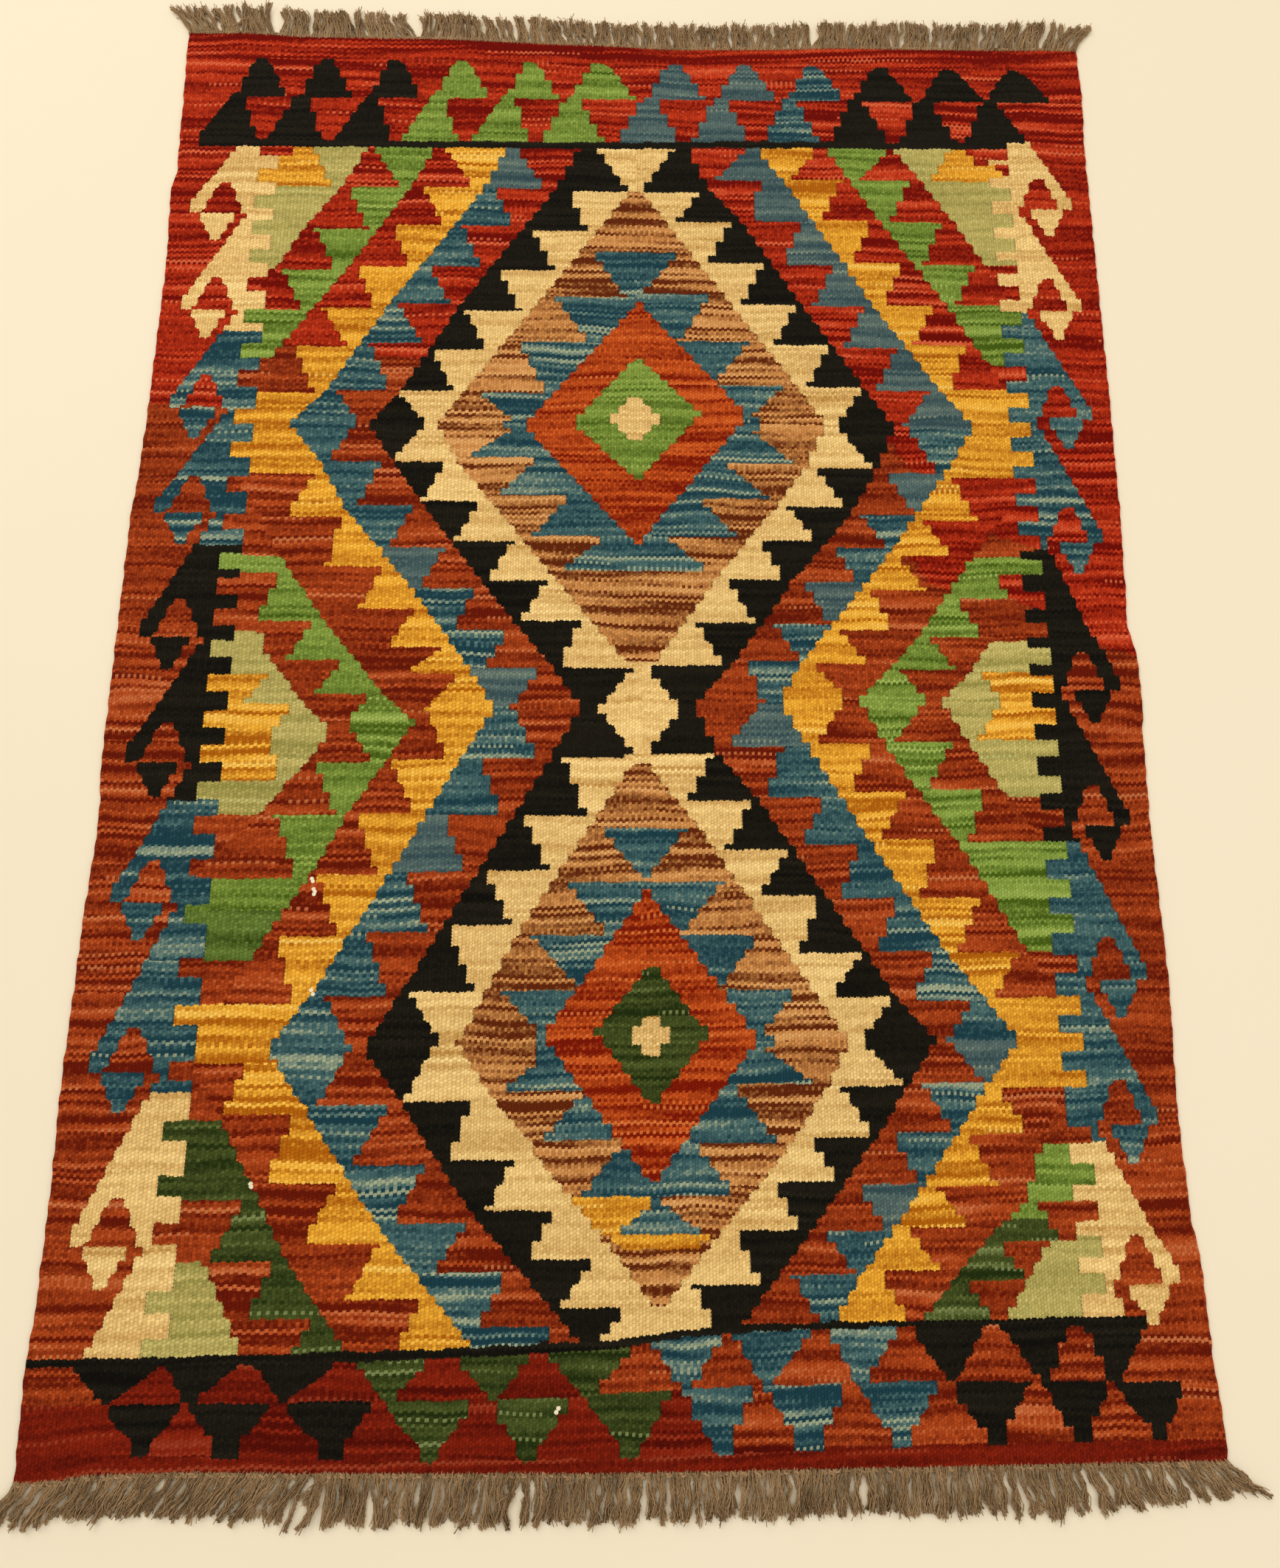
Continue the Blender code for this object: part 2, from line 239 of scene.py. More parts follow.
# The cream figures that stand on the axis, where two quarters of the field meet.
Tip = namedtuple("Tip", "top bottom widest middle wide narrow")
CREAM_TIPS = [Tip(118, 165, 118, 408, 35, 5), Tip(617, 689, 652, 414.5, 33, 4)]
AXIS_TIPS = ((0, 167), (612, 697), (1094, CLOTH_LENGTH))  # where the chains reach the axis
FIR_FROM = {"left": 940, "right": 1038}  # nearer than here the leaf chain is woven in fir
SLATE_UNTIL = 400  # further than here the right side's teal chain is woven in slate

# Where the field is plain past a chain's line: from y, to y, first chain, yarn.
Plain = namedtuple("Plain", "top bottom chain yarn")
LEFT_PLAIN = table(
    Plain, (164, 250, 4, "sage"), (250, 290, 4, "red"), (290, 338, 3, "leaf"), (338, 372, 3, "red"),
    (372, 447, 2, "gold"), (447, 521, 3, "red"), (521, 536, 3, "leaf"), (536, 587, 4, "red"),
    (587, 623, 4, "sage"), (711, 738, 4, "sage"), (738, 788, 4, "red"), (788, 812, 3, "leaf"),
    (812, 850, 3, "moss"), (850, 882, 3, "red"), (882, 925, 2, "gold"), (925, 965, 3, "red"),
    (965, 1020, 3, "fir"), (1061, 1135, 4, "sage"),
)
RIGHT_PLAIN = table(
    Plain, (149, 237, 4, "sage"), (237, 279, 4, "red"), (279, 338, 3, "leaf"), (338, 364, 3, "red"),
    (364, 446, 2, "gold"), (446, 519, 3, "red"), (519, 534, 3, "leaf"), (534, 594, 4, "red"),
    (594, 620, 4, "sage"), (677, 724, 4, "sage"), (724, 761, 4, "red"), (761, 845, 3, "leaf"),
    (845, 880, 3, "red"), (880, 946, 2, "gold"), (946, 986, 3, "red"), (986, 1026, 3, "leaf"),
    (1053, 1135, 4, "sage"),
)
FIELD = {
    "left": (LEFT_LINES, LEFT_COURSES, LEFT_PLAIN),
    "right": (RIGHT_LINES, RIGHT_COURSES, RIGHT_PLAIN),
}

# Inside the lozenges: brown triangles next to the line, blue ones inside them.
INNER_COURSES = {
    "left": [228, 274, 319, 369, 399, 430, 465, 502, 533, 749, 791, 832, 873, 914, 946, 981, 1020, 1046],
    "right": [228, 270, 317, 360, 397, 434, 467, 502, 533, 749, 791, 832, 873, 911, 942, 984, 1020, 1046],
}
INNER_REACH = Reach(71, 10)
PLAIN_WALNUT = (533, 749)  # between the two rows of lozenges
LOZENGE_MIDDLES = (399, 912)
MIDDLE_HEIGHT = 25  # near a lozenge's middle the brown reaches less far in
MIDDLE_REACH = 56
PARTED = ((279, 502), (797, 1013))  # where an ember lozenge parts the left side's figures from the right's
GOLD_TOP, GOLD_STEP, GOLD_BOTTOM = 1021, 1046, 1056
Lozenge = namedtuple("Lozenge", "yarn top left right bottom")
LOZENGES = [
    Lozenge("leaf", (411, 333), (357, 397), (465, 388), (412, 451)),
    Lozenge("fir", (424, 852), (382, 904), (466, 907), (425, 958)),
    Lozenge("ember", (412, 279), (316, 400), (505, 389), (412, 510)),
    Lozenge("ember", (420, 797), (344, 906), (503, 910), (425, 1013)),
]
# The cream crosses: the middle, and how far each bar reaches across and down from it.
CROSSES = [((411, 393), ((6, 20), (14, 13), (22, 5))), ((425, 907), ((5, 14), (13, 6)))]

# The teeth of the end bands, each an upper triangle (tier 0) over a lower one (tier 1).
Span = namedtuple("Span", "tier left right")
FarTooth = namedtuple("FarTooth", "yarn top_left top_right foot_left foot_right")
FAR_TEETH = table(
    FarTooth,
    ("black", 50, 92, 16, 69), ("black", 108, 151, 81, 127), ("black", 171, 213, 140, 189),
    ("leaf", 229, 275, 200, 249), ("leaf", 294, 337, 262, 312), ("leaf", 351, 407, 325, 380),
    ("slate", 421, 471, 393, 448), ("slate", 485, 537, 462, 512), ("teal", 550, 599, 525, 575),
    ("black", 610, 662, 586, 639), ("black", 672, 728, 650, 701), ("black", 732, 791, 710, 769),
)
NearTooth = namedtuple("NearTooth", "yarn top_left top_right second_left second_right foot_left foot_right")
NEAR_TEETH = table(
    NearTooth,
    ("black", 32, 87, 58, 103, 73, 87), ("black", 94, 141, 112, 164, 131, 143),
    ("black", 154, 207, 177, 232, 200, 214), ("fir", 222, 271, 246, 301, 268, 280),
    ("fir", 290, 340, 319, 368, 334, 347), ("fir", 352, 412, 383, 435, 404, 417),
    ("teal", 426, 472, 451, 493, 465, 476), ("teal", 483, 535, 507, 558, 526, 538),
    ("teal", 549, 596, 572, 621, 590, 600), ("black", 606, 656, 636, 685, 653, 665),
    ("black", 671, 714, 701, 743, 714, 724), ("black", 731, 772, 751, 794, 769, 780),
)
# The black line beside each band: (place across, top, bottom).
FAR_LINE = [(16, 114, 123), (190, 114, 121), (300, 113, 120), (400, 112, 119), (500, 109, 116),
            (600, 108, 115), (700, 107, 114), (744, 106, 113)]
NEAR_LINE = [(0, 1123, 1128), (200, 1121, 1128), (300, 1119, 1125), (400, 1115, 1121),
             (450, 1109, 1114), (500, 1106, 1111), (600, 1105, 1109), (772, 1104, 1110)]
NEAR_LINE_STOP = 776
FAR_TOOTH_TOP = 25
NEAR_JOIN = [(0, 1152), (350, 1152), (450, 1147), (600, 1144), (820, 1147)]  # where the lower row begins
NEAR_FEET = [(0, 1182), (80, 1184), (275, 1190), (410, 1190), (535, 1187), (775, 1184)]
NEAR_FOOT_HEIGHT = 11
NEAR_PLAIN_FROM = 1184  # from the feet to the end the ground is oxblood all the way across: partly darker wool, partly painted shade where the cloth's edge bends down

# The side panels: (how far down, yarn), the tips of their hooks, and the notches of their combs.
PANEL_YARNS = {
    "left": [(312, "cream"), (512, "teal"), (727, "black"), (945, "teal"), (1200, "cream")],
    "right": [(285, "cream"), (512, "teal"), (760, "black"), (985, "teal"), (1200, "cream")],
}
HOOKS = {
    "left": [90, 188, 286, 382, 478, 587, 691, 801, 926, 1045, 1168],
    "right": [72, 172, 278, 385, 500, 630, 742, 862, 968, 1078, 1190],
}
NOTCHES = {
    "left": [127, 153, 181, 208, 237, 265, 297, 331, 359, 394, 425, 457, 491, 526, 548, 575, 602, 631, 661,
             689, 719, 746, 780, 815, 855, 890, 930, 972, 1010, 1042, 1087, 1118],
    "right": [118, 137, 162, 190, 215, 238, 265, 291, 318, 346, 372, 400, 428, 453, 479, 506, 528, 558, 584,
              606, 630, 657, 684, 714, 741, 767, 797, 824, 855, 886, 913, 941, 981, 1008, 1033, 1058,
              1082],
}
NOTCH_HEIGHT = 14
NOTCH_FLOOR = 74.5
TOOTH_TIP = 91.5
PANEL_MIRROR = {"left": 0.0, "right": CLOTH_WIDTH}
HOOK_WIDE = 69.0  # how far across a hook's slanting edge starts and ends
HOOK_NARROW = 19.0
HOOK_BLOCKS = ((15, 27, 56), (24, 32, 52), (33, 35, 45))  # the end of a hook: how far down, from, to
EYE_HEIGHT = 27  # of the red triangle inside a hook
EYE_TOP = (42, 52)
EYE_SPREAD = 0.42

# What each sort of figure is counted from. A bobbin's streaks follow from its figure's number.
FIGURES = {
    "line": 1, "chain": 20, "tip": 600, "plain": 700, "cross": 900, "lozenge": 901, "inner": 950,
    "far tooth": 3000, "far ground": 3100, "near tooth": 3300, "near ground": 3400, "border": 3600,
    "panel": 3700,
}


def along_line(line, where):
    """The value of a line's (place, value) points at a place, straight between them."""
    before = line[0]
    for after in line[1:]:
        if where <= after[0]:
            share = (where - before[0]) / (after[0] - before[0])
            return before[1] + (after[1] - before[1]) * max(0.0, share)
        before = after
    return before[1]


def line_edges(rows, x):
    """The top and the bottom of a black line at this place across the rug."""
    return [along_line([(row[0], row[part]) for row in rows], x) for part in (1, 2)]


def span_of(starts, y):
    """Which stretch between the starts holds y, and how far down it y is."""
    for number, (top, bottom) in enumerate(zip(starts, starts[1:])):
        if y < bottom:
            return number, min(1.0, max(0.0, (y - top) / (bottom - top)))
    return len(starts) - 2, 1.0


def opens_outward(side, y, chain=0):
    """True where the zigzag lines move away from the axis going down."""
    first, waist, last = (turns[chain] for turns in FIELD_TURNS[side])
    return y < first or waist <= y < last


def red_at(x, y, number):
    """The reds: crimson at the far end and down the right, brick at the middle left and the near end."""
    return "brick" if y + 45 * math.sin(12.9898 * number) > along_line(RED_CHANGES, x) else "crimson"


def in_lozenge(lozenge, x, y):
    (top_x, top), (left, _), (right, middle), (_, bottom) = lozenge[1:]
    middle = lozenge.left[1] if x < top_x else middle
    if not top < y < bottom:
        return False
    share = (y - top) / (middle - top) if y < middle else (bottom - y) / (bottom - middle)
    centre = top_x + (lozenge.bottom[0] - top_x) * (y - top) / (bottom - top)
    return centre + (left - centre) * share < x < centre + (right - centre) * share


def lozenge_yarn(side, x, y, distance):
    """Inside the zigzag's innermost line, this far from it."""
    for (cross_x, cross_y), bars in CROSSES:
        if any(abs(x - cross_x) < wide and abs(y - cross_y) < tall for wide, tall in bars):
            return "cream", FIGURES["cross"]
    for number, lozenge in enumerate(LOZENGES):
        if in_lozenge(lozenge, x, y):
            return lozenge.yarn, FIGURES["lozenge"] + number + int(y // 60)
    courses = INNER_COURSES[side]
    number, share = span_of(courses, y)
    parted = side == "right" and any(top <= y <= bottom for top, bottom in PARTED)
    tag = FIGURES["inner"] + number + (40 if parted else 0)
    if GOLD_STEP < y < GOLD_BOTTOM and distance > 6:
        return "gold", FIGURES["inner"] - 2
    if side == "left" and GOLD_TOP < y <= GOLD_STEP and 0 < distance < 66 - 55 * share:
        return "gold", FIGURES["inner"] - 1
    if y < courses[0] or y > courses[-1] or PLAIN_WALNUT[0] < y < PLAIN_WALNUT[1]:
        return "walnut", tag
    widened = (INNER_REACH.base - INNER_REACH.tip) * share
    reach = INNER_REACH.tip + widened if opens_outward(side, y) else INNER_REACH.base - widened
    if any(abs(y - middle) < MIDDLE_HEIGHT for middle in LOZENGE_MIDDLES):
        reach = min(reach, MIDDLE_REACH)
    return ("walnut", tag) if distance < reach else ("teal", tag + 500)


def field_yarn(x, y):
    side = "left" if x < along_line(AXIS, y) else "right"
    lines, courses, plains = FIELD[side]
    outward = -1 if side == "left" else 1
    distances = [(x - along_line(line, y)) * outward for line in lines]
    in_tip = any(top < y < bottom for top, bottom in AXIS_TIPS)
    if distances[0] < 0 and not in_tip:
        return lozenge_yarn(side, x, y, -distances[0])
    for tip in CREAM_TIPS:
        if tip.top <= y < tip.bottom and distances[1] < 0:
            share = abs(y - tip.widest) / max(tip.bottom - tip.widest, tip.widest - tip.top)
            inside = abs(x - tip.middle) < tip.wide + (tip.narrow - tip.wide) * share
            return ("cream" if inside else "black"), FIGURES["tip"] + int(tip.top) + int(x > tip.middle)
    chain = 0
    while chain + 1 < len(lines) and distances[chain + 1] >= 0:
        chain += 1
    for plain in plains:
        if plain.top <= y < plain.bottom and chain >= plain.chain:
            tag = FIGURES["plain"] + int(plain.top) + plain.chain
            return (red_at(x, y, tag) if plain.yarn == "red" else plain.yarn), tag
    number, share = span_of(courses[chain], y)
    if not opens_outward(side, y, chain):
        share = 1 - share
    base, tip = (NEAR_LEFT_REACHES if side == "left" and y > 914 else REACHES)[chain]
    reach = base + (tip - base) * share
    inner, outer = CHAIN_YARNS[chain]
    inside = distances[chain] < reach
    yarn = inner if inside else outer
    tag = FIGURES["chain"] + 60 * chain + 2 * number + (400 if side == "right" else 0) + (not inside)
    if yarn == "leaf" and y > FIR_FROM[side]:
        yarn = "fir"
    if yarn == "teal" and (side == "right" and y < SLATE_UNTIL or math.sin(5.3 * tag) > 0.8):
        yarn = "slate"
    if yarn == "red":
        yarn = red_at(x, y, tag)
    return yarn, tag


def panel_yarn(side, x, y):
    """The side panel's yarn at this place, "border" in the ground round its hooks, or None outside it."""
    across = abs(x - PANEL_MIRROR[side])
    near_notch = any(abs(y - notch) < NOTCH_HEIGHT / 2 for notch in NOTCHES[side])
    if across > (NOTCH_FLOOR if near_notch else TOOTH_TIP):
        return None
    body = next(yarn for bottom, yarn in PANEL_YARNS[side] if y < bottom)
    hooks = HOOKS[side]
    number = next(n for n, tip in enumerate(hooks) if y < tip + 5)
    tip, before = hooks[number], hooks[max(0, number - 1)]
    share = (y - before - 5) / (tip - before - 12)
    edge = max(HOOK_NARROW, HOOK_WIDE - (HOOK_WIDE - HOOK_NARROW) * share)
    down = y - tip + EYE_HEIGHT
    if across >= edge:
        in_eye = EYE_TOP[0] - EYE_SPREAD * down < across < EYE_TOP[1] + EYE_SPREAD * down
        return "border" if number and down > 0 and in_eye else body
    hook_body = next(yarn for bottom, yarn in PANEL_YARNS[side] if before < bottom)
    for bottom, left, right in HOOK_BLOCKS:
        if y - before < bottom:
            return hook_body if left < across < right else "border"
    return "border"


def between(low, high, share):
    """The two sides of a figure that run from low's ends to high's ends."""
    return [start + (end - start) * share for start, end in zip(low, high)]


def far_spans(tooth, x, y):
    """Where a line at this height crosses a tooth of the far band: its upper triangle, its lower one."""
    top, middle, bottom = FAR_TOOTH_TOP, 69 - 0.01 * x, 116 - 0.009 * x
    join = middle - 3
    spans = []
    if top < y <= middle:
        apex = tooth.top_left + 0.44 * (tooth.top_right - tooth.top_left)
        share = ((y - top) / (middle - top)) ** 0.78
        ends = between((apex - 4, apex + 4), (tooth.top_left - 2, tooth.top_right + 1), share)
        spans.append(Span(0, *ends))
    if join < y <= bottom:
        start = (tooth.top_left - 5, tooth.top_left + 5)
        foot = (tooth.foot_left - 2, tooth.foot_right + 1)
        spans.append(Span(1, *between(start, foot, (y - join) / (bottom - join))))
    return spans


def near_spans(tooth, x, y):
    """The same for the near band, where a lower triangle ends in a narrow foot."""
    line = line_edges(NEAR_LINE, x)[1]
    join, end = along_line(NEAR_JOIN, x), along_line(NEAR_FEET, x)
    foot_top = end - NEAR_FOOT_HEIGHT
    apex = (tooth.second_left - 8, tooth.second_left + 2)
    if y <= join:
        upper = (tooth.top_left - 2, tooth.top_right + 2)
        return [Span(0, *between(upper, apex, min(1.0, (y - line) / (join - 3 - line))))]
    if y <= foot_top:
        share = ((y - join) / (foot_top - join)) ** 1.35
        lower = (tooth.second_left - 4, tooth.second_right + 1)
        return [Span(1, *between(lower, (tooth.foot_left - 3, tooth.foot_right + 3), share))]
    return [Span(1, tooth.foot_left - 1, tooth.foot_right + 1)] if y <= end else []


def band(x, y):
    """The yarn and figure in the two end bands: teeth on red, and each red between two teeth its own."""
    far = y < 125
    tier, passed = 0, 0
    for number, tooth in enumerate(FAR_TEETH if far else NEAR_TEETH):
        spans = (far_spans if far else near_spans)(tooth, x, y)
        for span in spans:
            if span.left < x < span.right:
                return tooth.yarn, FIGURES["far tooth" if far else "near tooth"] + 2 * number + span.tier
        if spans:
            tier = 1 + spans[0].tier
            passed += x > (spans[0].left + spans[0].right) / 2
    if far:
        return "crimson", FIGURES["far ground"] + 20 * tier + passed
    brick = tier and passed > 4 + tier and y < NEAR_PLAIN_FROM or tier == 1 and not passed
    return ("brick" if brick else "oxblood"), FIGURES["near ground"] + 20 * tier + passed


def chart(x, y):
    """(yarn, figure) at a place in the cloth. A figure is what one bobbin wove without a break."""
    far_top, far_bottom = line_edges(FAR_LINE, x)
    near_top, near_bottom = line_edges(NEAR_LINE, x)
    on_far_line = FAR_LINE[0][0] < x < FAR_LINE[-1][0] and far_top <= y < far_bottom
    if on_far_line or x < NEAR_LINE_STOP and near_top <= y < near_bottom:
        return "black", FIGURES["line"]
    if y < far_top or y >= near_bottom:
        return band(x, y)
    side = "left" if x < CLOTH_WIDTH / 2 else "right"
    across = abs(x - PANEL_MIRROR[side])
    yarn = panel_yarn(side, x, y) if across < 100 else None
    if yarn == "border" or (yarn is None and (across < 60 or across < 105 and y < 132)):
        tag = FIGURES["border"] + int(y // 97) + (20 if side == "right" else 0)
        return red_at(x, y, tag), tag
    if yarn:
        return yarn, FIGURES["panel"] + int(y // 50) + (30 if side == "right" else 0)
    return field_yarn(x, y)


# ---------------------------------------------------------------- node trees
def put(tree, socket, value):
    """Gives a node's input a value, or links it."""
    if isinstance(value, Wire):
        tree.links.new(value.socket, socket)
    elif isinstance(value, bpy.types.NodeSocket):
        tree.links.new(value, socket)
    else:
        socket.default_value = value


class Wire:
    """A number on its way between nodes: sums on it add the Math nodes."""

    def __init__(self, tree, socket):
        self.tree = tree
        self.socket = socket

    def math(self, operation, *values):
        node = self.tree.nodes.new("ShaderNodeMath")
        node.operation = operation
        for socket, value in zip(node.inputs, values):
            put(self.tree, socket, value)
        return Wire(self.tree, node.outputs[0])

    def __add__(self, other):
        return self.math("ADD", self, other)

    def __radd__(self, other):
        return self.math("ADD", other, self)

    def __sub__(self, other):
        return self.math("SUBTRACT", self, other)

    def __rsub__(self, other):
        return self.math("SUBTRACT", other, self)

    def __mul__(self, other):
        return self.math("MULTIPLY", self, other)

    def __rmul__(self, other):
        return self.math("MULTIPLY", other, self)

    def __truediv__(self, other):
        return self.math("DIVIDE", self, other)

    def __pow__(self, other):
        return self.math("POWER", self, other)

    def __gt__(self, other):
        return self.math("GREATER_THAN", self, other)

    def __lt__(self, other):
        return self.math("LESS_THAN", self, other)

    def floor(self):
        return self.math("FLOOR", self)

    def fract(self):
        return self.math("FRACT", self)

    def sine(self):
        return self.math("SINE", self)

    def size(self):
        return self.math("ABSOLUTE", self)

    def least(self, other):
        return self.math("MINIMUM", self, other)

    def most(self, other):
        return self.math("MAXIMUM", self, other)

    def clamped(self):
        return self.most(0.0).least(1.0)


class Tree:
    """A node tree with one way of making any node."""

    def __init__(self, tree):
        self.tree = tree

    def node(self, kind, settings=None, sockets=None):
        node = self.tree.nodes.new(kind)
        for name, value in (settings or {}).items():
            if name == "stops":
                elements = node.color_ramp.elements
                while len(elements) < len(value):
                    elements.new(1.0)
                for element, (position, colour) in zip(elements, value):
                    element.position = position
                    element.color = colour
            elif name == "interpolation":
                node.color_ramp.interpolation = value
            else:
                setattr(node, name, value)
        for name, value in (sockets or {}).items():
            put(self.tree, node.inputs[name], value)
        return node

    def wire(self, kind, settings=None, sockets=None, output=0):
        return Wire(self.tree, self.node(kind, settings, sockets).outputs[output])

    def vector(self, x=0.0, y=0.0, z=0.0):
        return self.wire("ShaderNodeCombineXYZ", sockets={"X": x, "Y": y, "Z": z})

    def mix(self, factor, first, second, blend="MIX"):
        settings = {"data_type": "RGBA", "blend_type": blend, "clamp_factor": True}
        node = self.node("ShaderNodeMix", settings)
        for number, value in ((0, factor), (6, first), (7, second)):
            put(self.tree, node.inputs[number], value)
        return Wire(self.tree, node.outputs[2])

    def noise(self, vector, scale, detail=2.0, roughness=0.5):
        sockets = {"Vector": vector, "Scale": scale, "Detail": detail, "Roughness": roughness}
        return self.wire("ShaderNodeTexNoise", {"noise_dimensions": "3D"}, sockets, "Fac")

    def chance(self, vector):
        return self.wire("ShaderNodeTexWhiteNoise", {"noise_dimensions": "3D"}, {"Vector": vector}, "Value")

    def parts(self, vector):
        """A vector's three numbers."""
        node = self.node("ShaderNodeSeparateXYZ", sockets={"Vector": vector})
        return [Wire(self.tree, output) for output in node.outputs]

    def attribute(self, name, output="Fac"):
        return self.wire("ShaderNodeAttribute", {"attribute_name": name}, output=output)

    def place(self):
        """Where the shaded point is, in metres."""
        return self.wire("ShaderNodeTexCoord", output="Object")

    def dress(self, shader, colour, finish, bump=None):
        """Links a shader's colour and bump, and sets what is the same all over."""
        put(self.tree, shader.inputs["Base Color"], colour)
        for name, value in finish.items():
            shader.inputs[name].default_value = value
        if bump:
            put(self.tree, shader.inputs["Normal"], self.node("ShaderNodeBump", sockets=bump).outputs[0])


def linear(colour, alpha=1.0):
    """A colour from 0 to 255, as the eye reads it, as the light that a shader takes."""
    parts = [part / 255 for part in colour]
    return (*[part / 12.92 if part <= 0.04045 else ((part + 0.055) / 1.055) ** 2.4 for part in parts], alpha)


def new_material(name):
    """A material, its node tree and its shader."""
    material = bpy.data.materials.new(name)
    material.use_nodes = True
    return material, Tree(material.node_tree), material.node_tree.nodes["Principled BSDF"]


def new_object(name, data):
    """An object at the origin of the scene."""
    made = bpy.data.objects.new(name, data)
    bpy.context.scene.collection.objects.link(made)
    return made


# ---------------------------------------------------------------- the cloth's wool
PASS_HEIGHT = 1.3  # of one weft pass, in millimetres
PASS_WANDER = 9.0  # how far the passes wander from level over a tenth of a metre
PASS_RIPPLE = 5.0  # and over a few steps of the pattern
PASS_TILT = 0.14  # the steepest slope between two figures' passes
SCALLOP = 0.7  # how far the weft bulges at a colour's end
SLIT_HALF = 0.055  # half a slit, as a share of a step
SLIT_EDGE = 30.0  # how sharp its edge is
STREAK_STEP = 0.34  # how fast a figure's tone changes from pass to pass
STREAK_DRIFT = 0.014  # and along a pass, from warp to warp
HOLLOW_PAINTED_SHADE = 0.60  # painted shade: how light the hollows of the weave are painted
RIB_PAINTED_LIGHT = 0.52  # and how much painted light is added on its ribs
RAMP_PLACES = 16.0  # one for each yarn, and two to spare
CLOTH_FINISH = {"Roughness": 0.93, "Sheen Weight": 0.02, "Sheen Roughness": 0.5, "Specular IOR Level": 0.05}
PALE_ENDS = [
    (167, 788), (168, 790), (169, 796), (170, 798), (169.5, 800), (172.5, 872), (174, 875), (139.5, 1009),
    (140, 1011), (359, 1161), (360.5, 1158.5),
]
PALE_END_RADIUS = 0.0015
PALE_END_COLOUR = (250, 238, 205)


def cloth_wool(shift):
    """The wool of the cloth, by the numbers that make_cloth gives each cell of the weave."""
    material, made, shader = new_material("kilim_wool")
    across, down, _ = made.parts(made.wire("ShaderNodeUVMap", {"uv_map": "Weave"}))
    place = made.place()
    upper, lower, turn, slant = (made.attribute(name) for name in ("upper", "lower", "turn", "slant"))
    upper_bobbin, lower_bobbin, side = (
        made.attribute(name) for name in ("upper_bobbin", "lower_bobbin", "side")
    )

    # Which of the cell's two yarns is here: each warp ends its colour in a small scallop.
    warp, in_warp = across.floor(), across.fract()
    parity = (warp / 2.0).fract() * 2.0
    grain = made.noise(made.vector(across * 2.0, down * 0.9), 1.0)
    scallop = ((in_warp * math.pi).sine() - 0.6) * SCALLOP + (parity - 0.5) * 0.6 + (grain - 0.5) * 0.8
    in_step = side - 0.5 - (in_warp - 0.5) * 0.37
    is_lower = down > turn + in_step * slant + scallop
    own_yarn = upper + (lower - upper) * is_lower
    bobbin = upper_bobbin + (lower_bobbin - upper_bobbin) * is_lower
    bobbin = (bobbin * 100.0 + 0.5).floor() / 100.0  # the same in every cell of a figure, for the noises

    # The passes of weft, a little slack here and there, and not quite level in any figure.
    wander = made.noise(place, 9.0, 2.0)
    ripple = made.noise(place, 27.0, 1.0)
    tilt = (made.chance(made.vector(bobbin, 11.0)) - 0.5) * across * PASS_TILT
    slack = (wander - 0.5) * PASS_WANDER + (ripple - 0.5) * PASS_RIPPLE
    passes = (down + slack + tilt) / PASS_HEIGHT

    # Where the step beside this one has another yarn, the weft bulges at its edge and a slit is left.
    def beside(name):
        above, below, edge = made.parts(made.attribute(name, "Vector"))
        return above + (below - above) * (down > edge + scallop)

    left_yarn, right_yarn = beside("left_side"), beside("right_side")
    bulging = (passes * math.pi).sine() * 0.05 + (grain - 0.5) * 0.05
    past_left, past_right = side < bulging, side > bulging + 1
    yarn = own_yarn + (left_yarn - own_yarn) * past_left + (right_yarn - own_yarn) * past_right
    at_left = ((SLIT_HALF - (side - bulging).size()) * SLIT_EDGE).clamped()
    at_right = ((SLIT_HALF - (side - bulging - 1).size()) * SLIT_EDGE).clamped()
    slit = (((left_yarn - own_yarn).size() > 0.5) * at_left).most(
        ((right_yarn - own_yarn).size() > 0.5) * at_right
    )

    # Beads: each warp shows every other pass, and its neighbour shows the ones between.
    leant = passes + in_warp * 0.3
    bead = ((leant + parity) / 2.0).floor() * 2.0 - parity
    in_bead = ((leant + parity) / 2.0).fract()

    # What each yarn is like, and its three colours, by its number.
    factor = (yarn + 0.5) / RAMP_PLACES

    def by_yarn(colour_of):
        stops = [(number / RAMP_PLACES, colour_of(row)) for number, row in enumerate(YARNS)]
        settings = {"stops": stops, "interpolation": "CONSTANT"}
        return made.wire("ShaderNodeValToRGB", settings, {"Fac": factor}, "Color")

    dark, light, pale = (
        by_yarn(lambda row, name=name: linear(getattr(row, name))) for name in ("dark", "light", "streak")
    )
    habit = by_yarn(lambda row: (row.level, row.contrast / 10, row.pips, 1.0))
    habits = made.node("ShaderNodeSeparateColor", sockets={"Color": habit}).outputs
    level, contrast, pips = (Wire(made.tree, output) for output in habits)

    # Tones: every bobbin has its own streaks, of a few passes each, and the wool has its own flecks.
    drift = across * STREAK_DRIFT
    in_turn = (bead + parity * 0.6) * STREAK_STEP
    streaks = made.noise(made.vector(in_turn, bobbin * 9.7, drift), 1.0, 1.5, 0.5)
    slow = made.noise(made.vector(bead * 0.05, bobbin * 5.3, drift), 1.0, 1.0)
    stretch = (across / 26.0 + made.chance(made.vector(bead, 5.0)) * 7.0).floor()
    single = made.chance(made.vector(bead, bobbin * 31.0, stretch))
    double = made.chance(made.vector((bead / 2.0).floor(), bobbin * 17.0, 2.0))
    own = made.chance(made.vector(bead, warp, 7.0))
    boldness = made.chance(made.vector(bobbin, 3.0)) * 0.9 + 0.55
    fleck = made.noise(place, 520.0, 3.0, 0.65)
    shade = made.noise(place, 5.0, 2.0)
    tone = (streaks - 0.5) * boldness + (slow - 0.5) * 0.15 + (own - 0.5) * 0.09 + (double - 0.5) * 0.09
    tone = tone * contrast * 10.0 + (fleck - 0.5) * 1.3 + level
    streak = ((tone - 1.0) * 1.1).clamped().most((single > 1 - pips) * 0.8).most((double > 1 - pips) * 0.9)

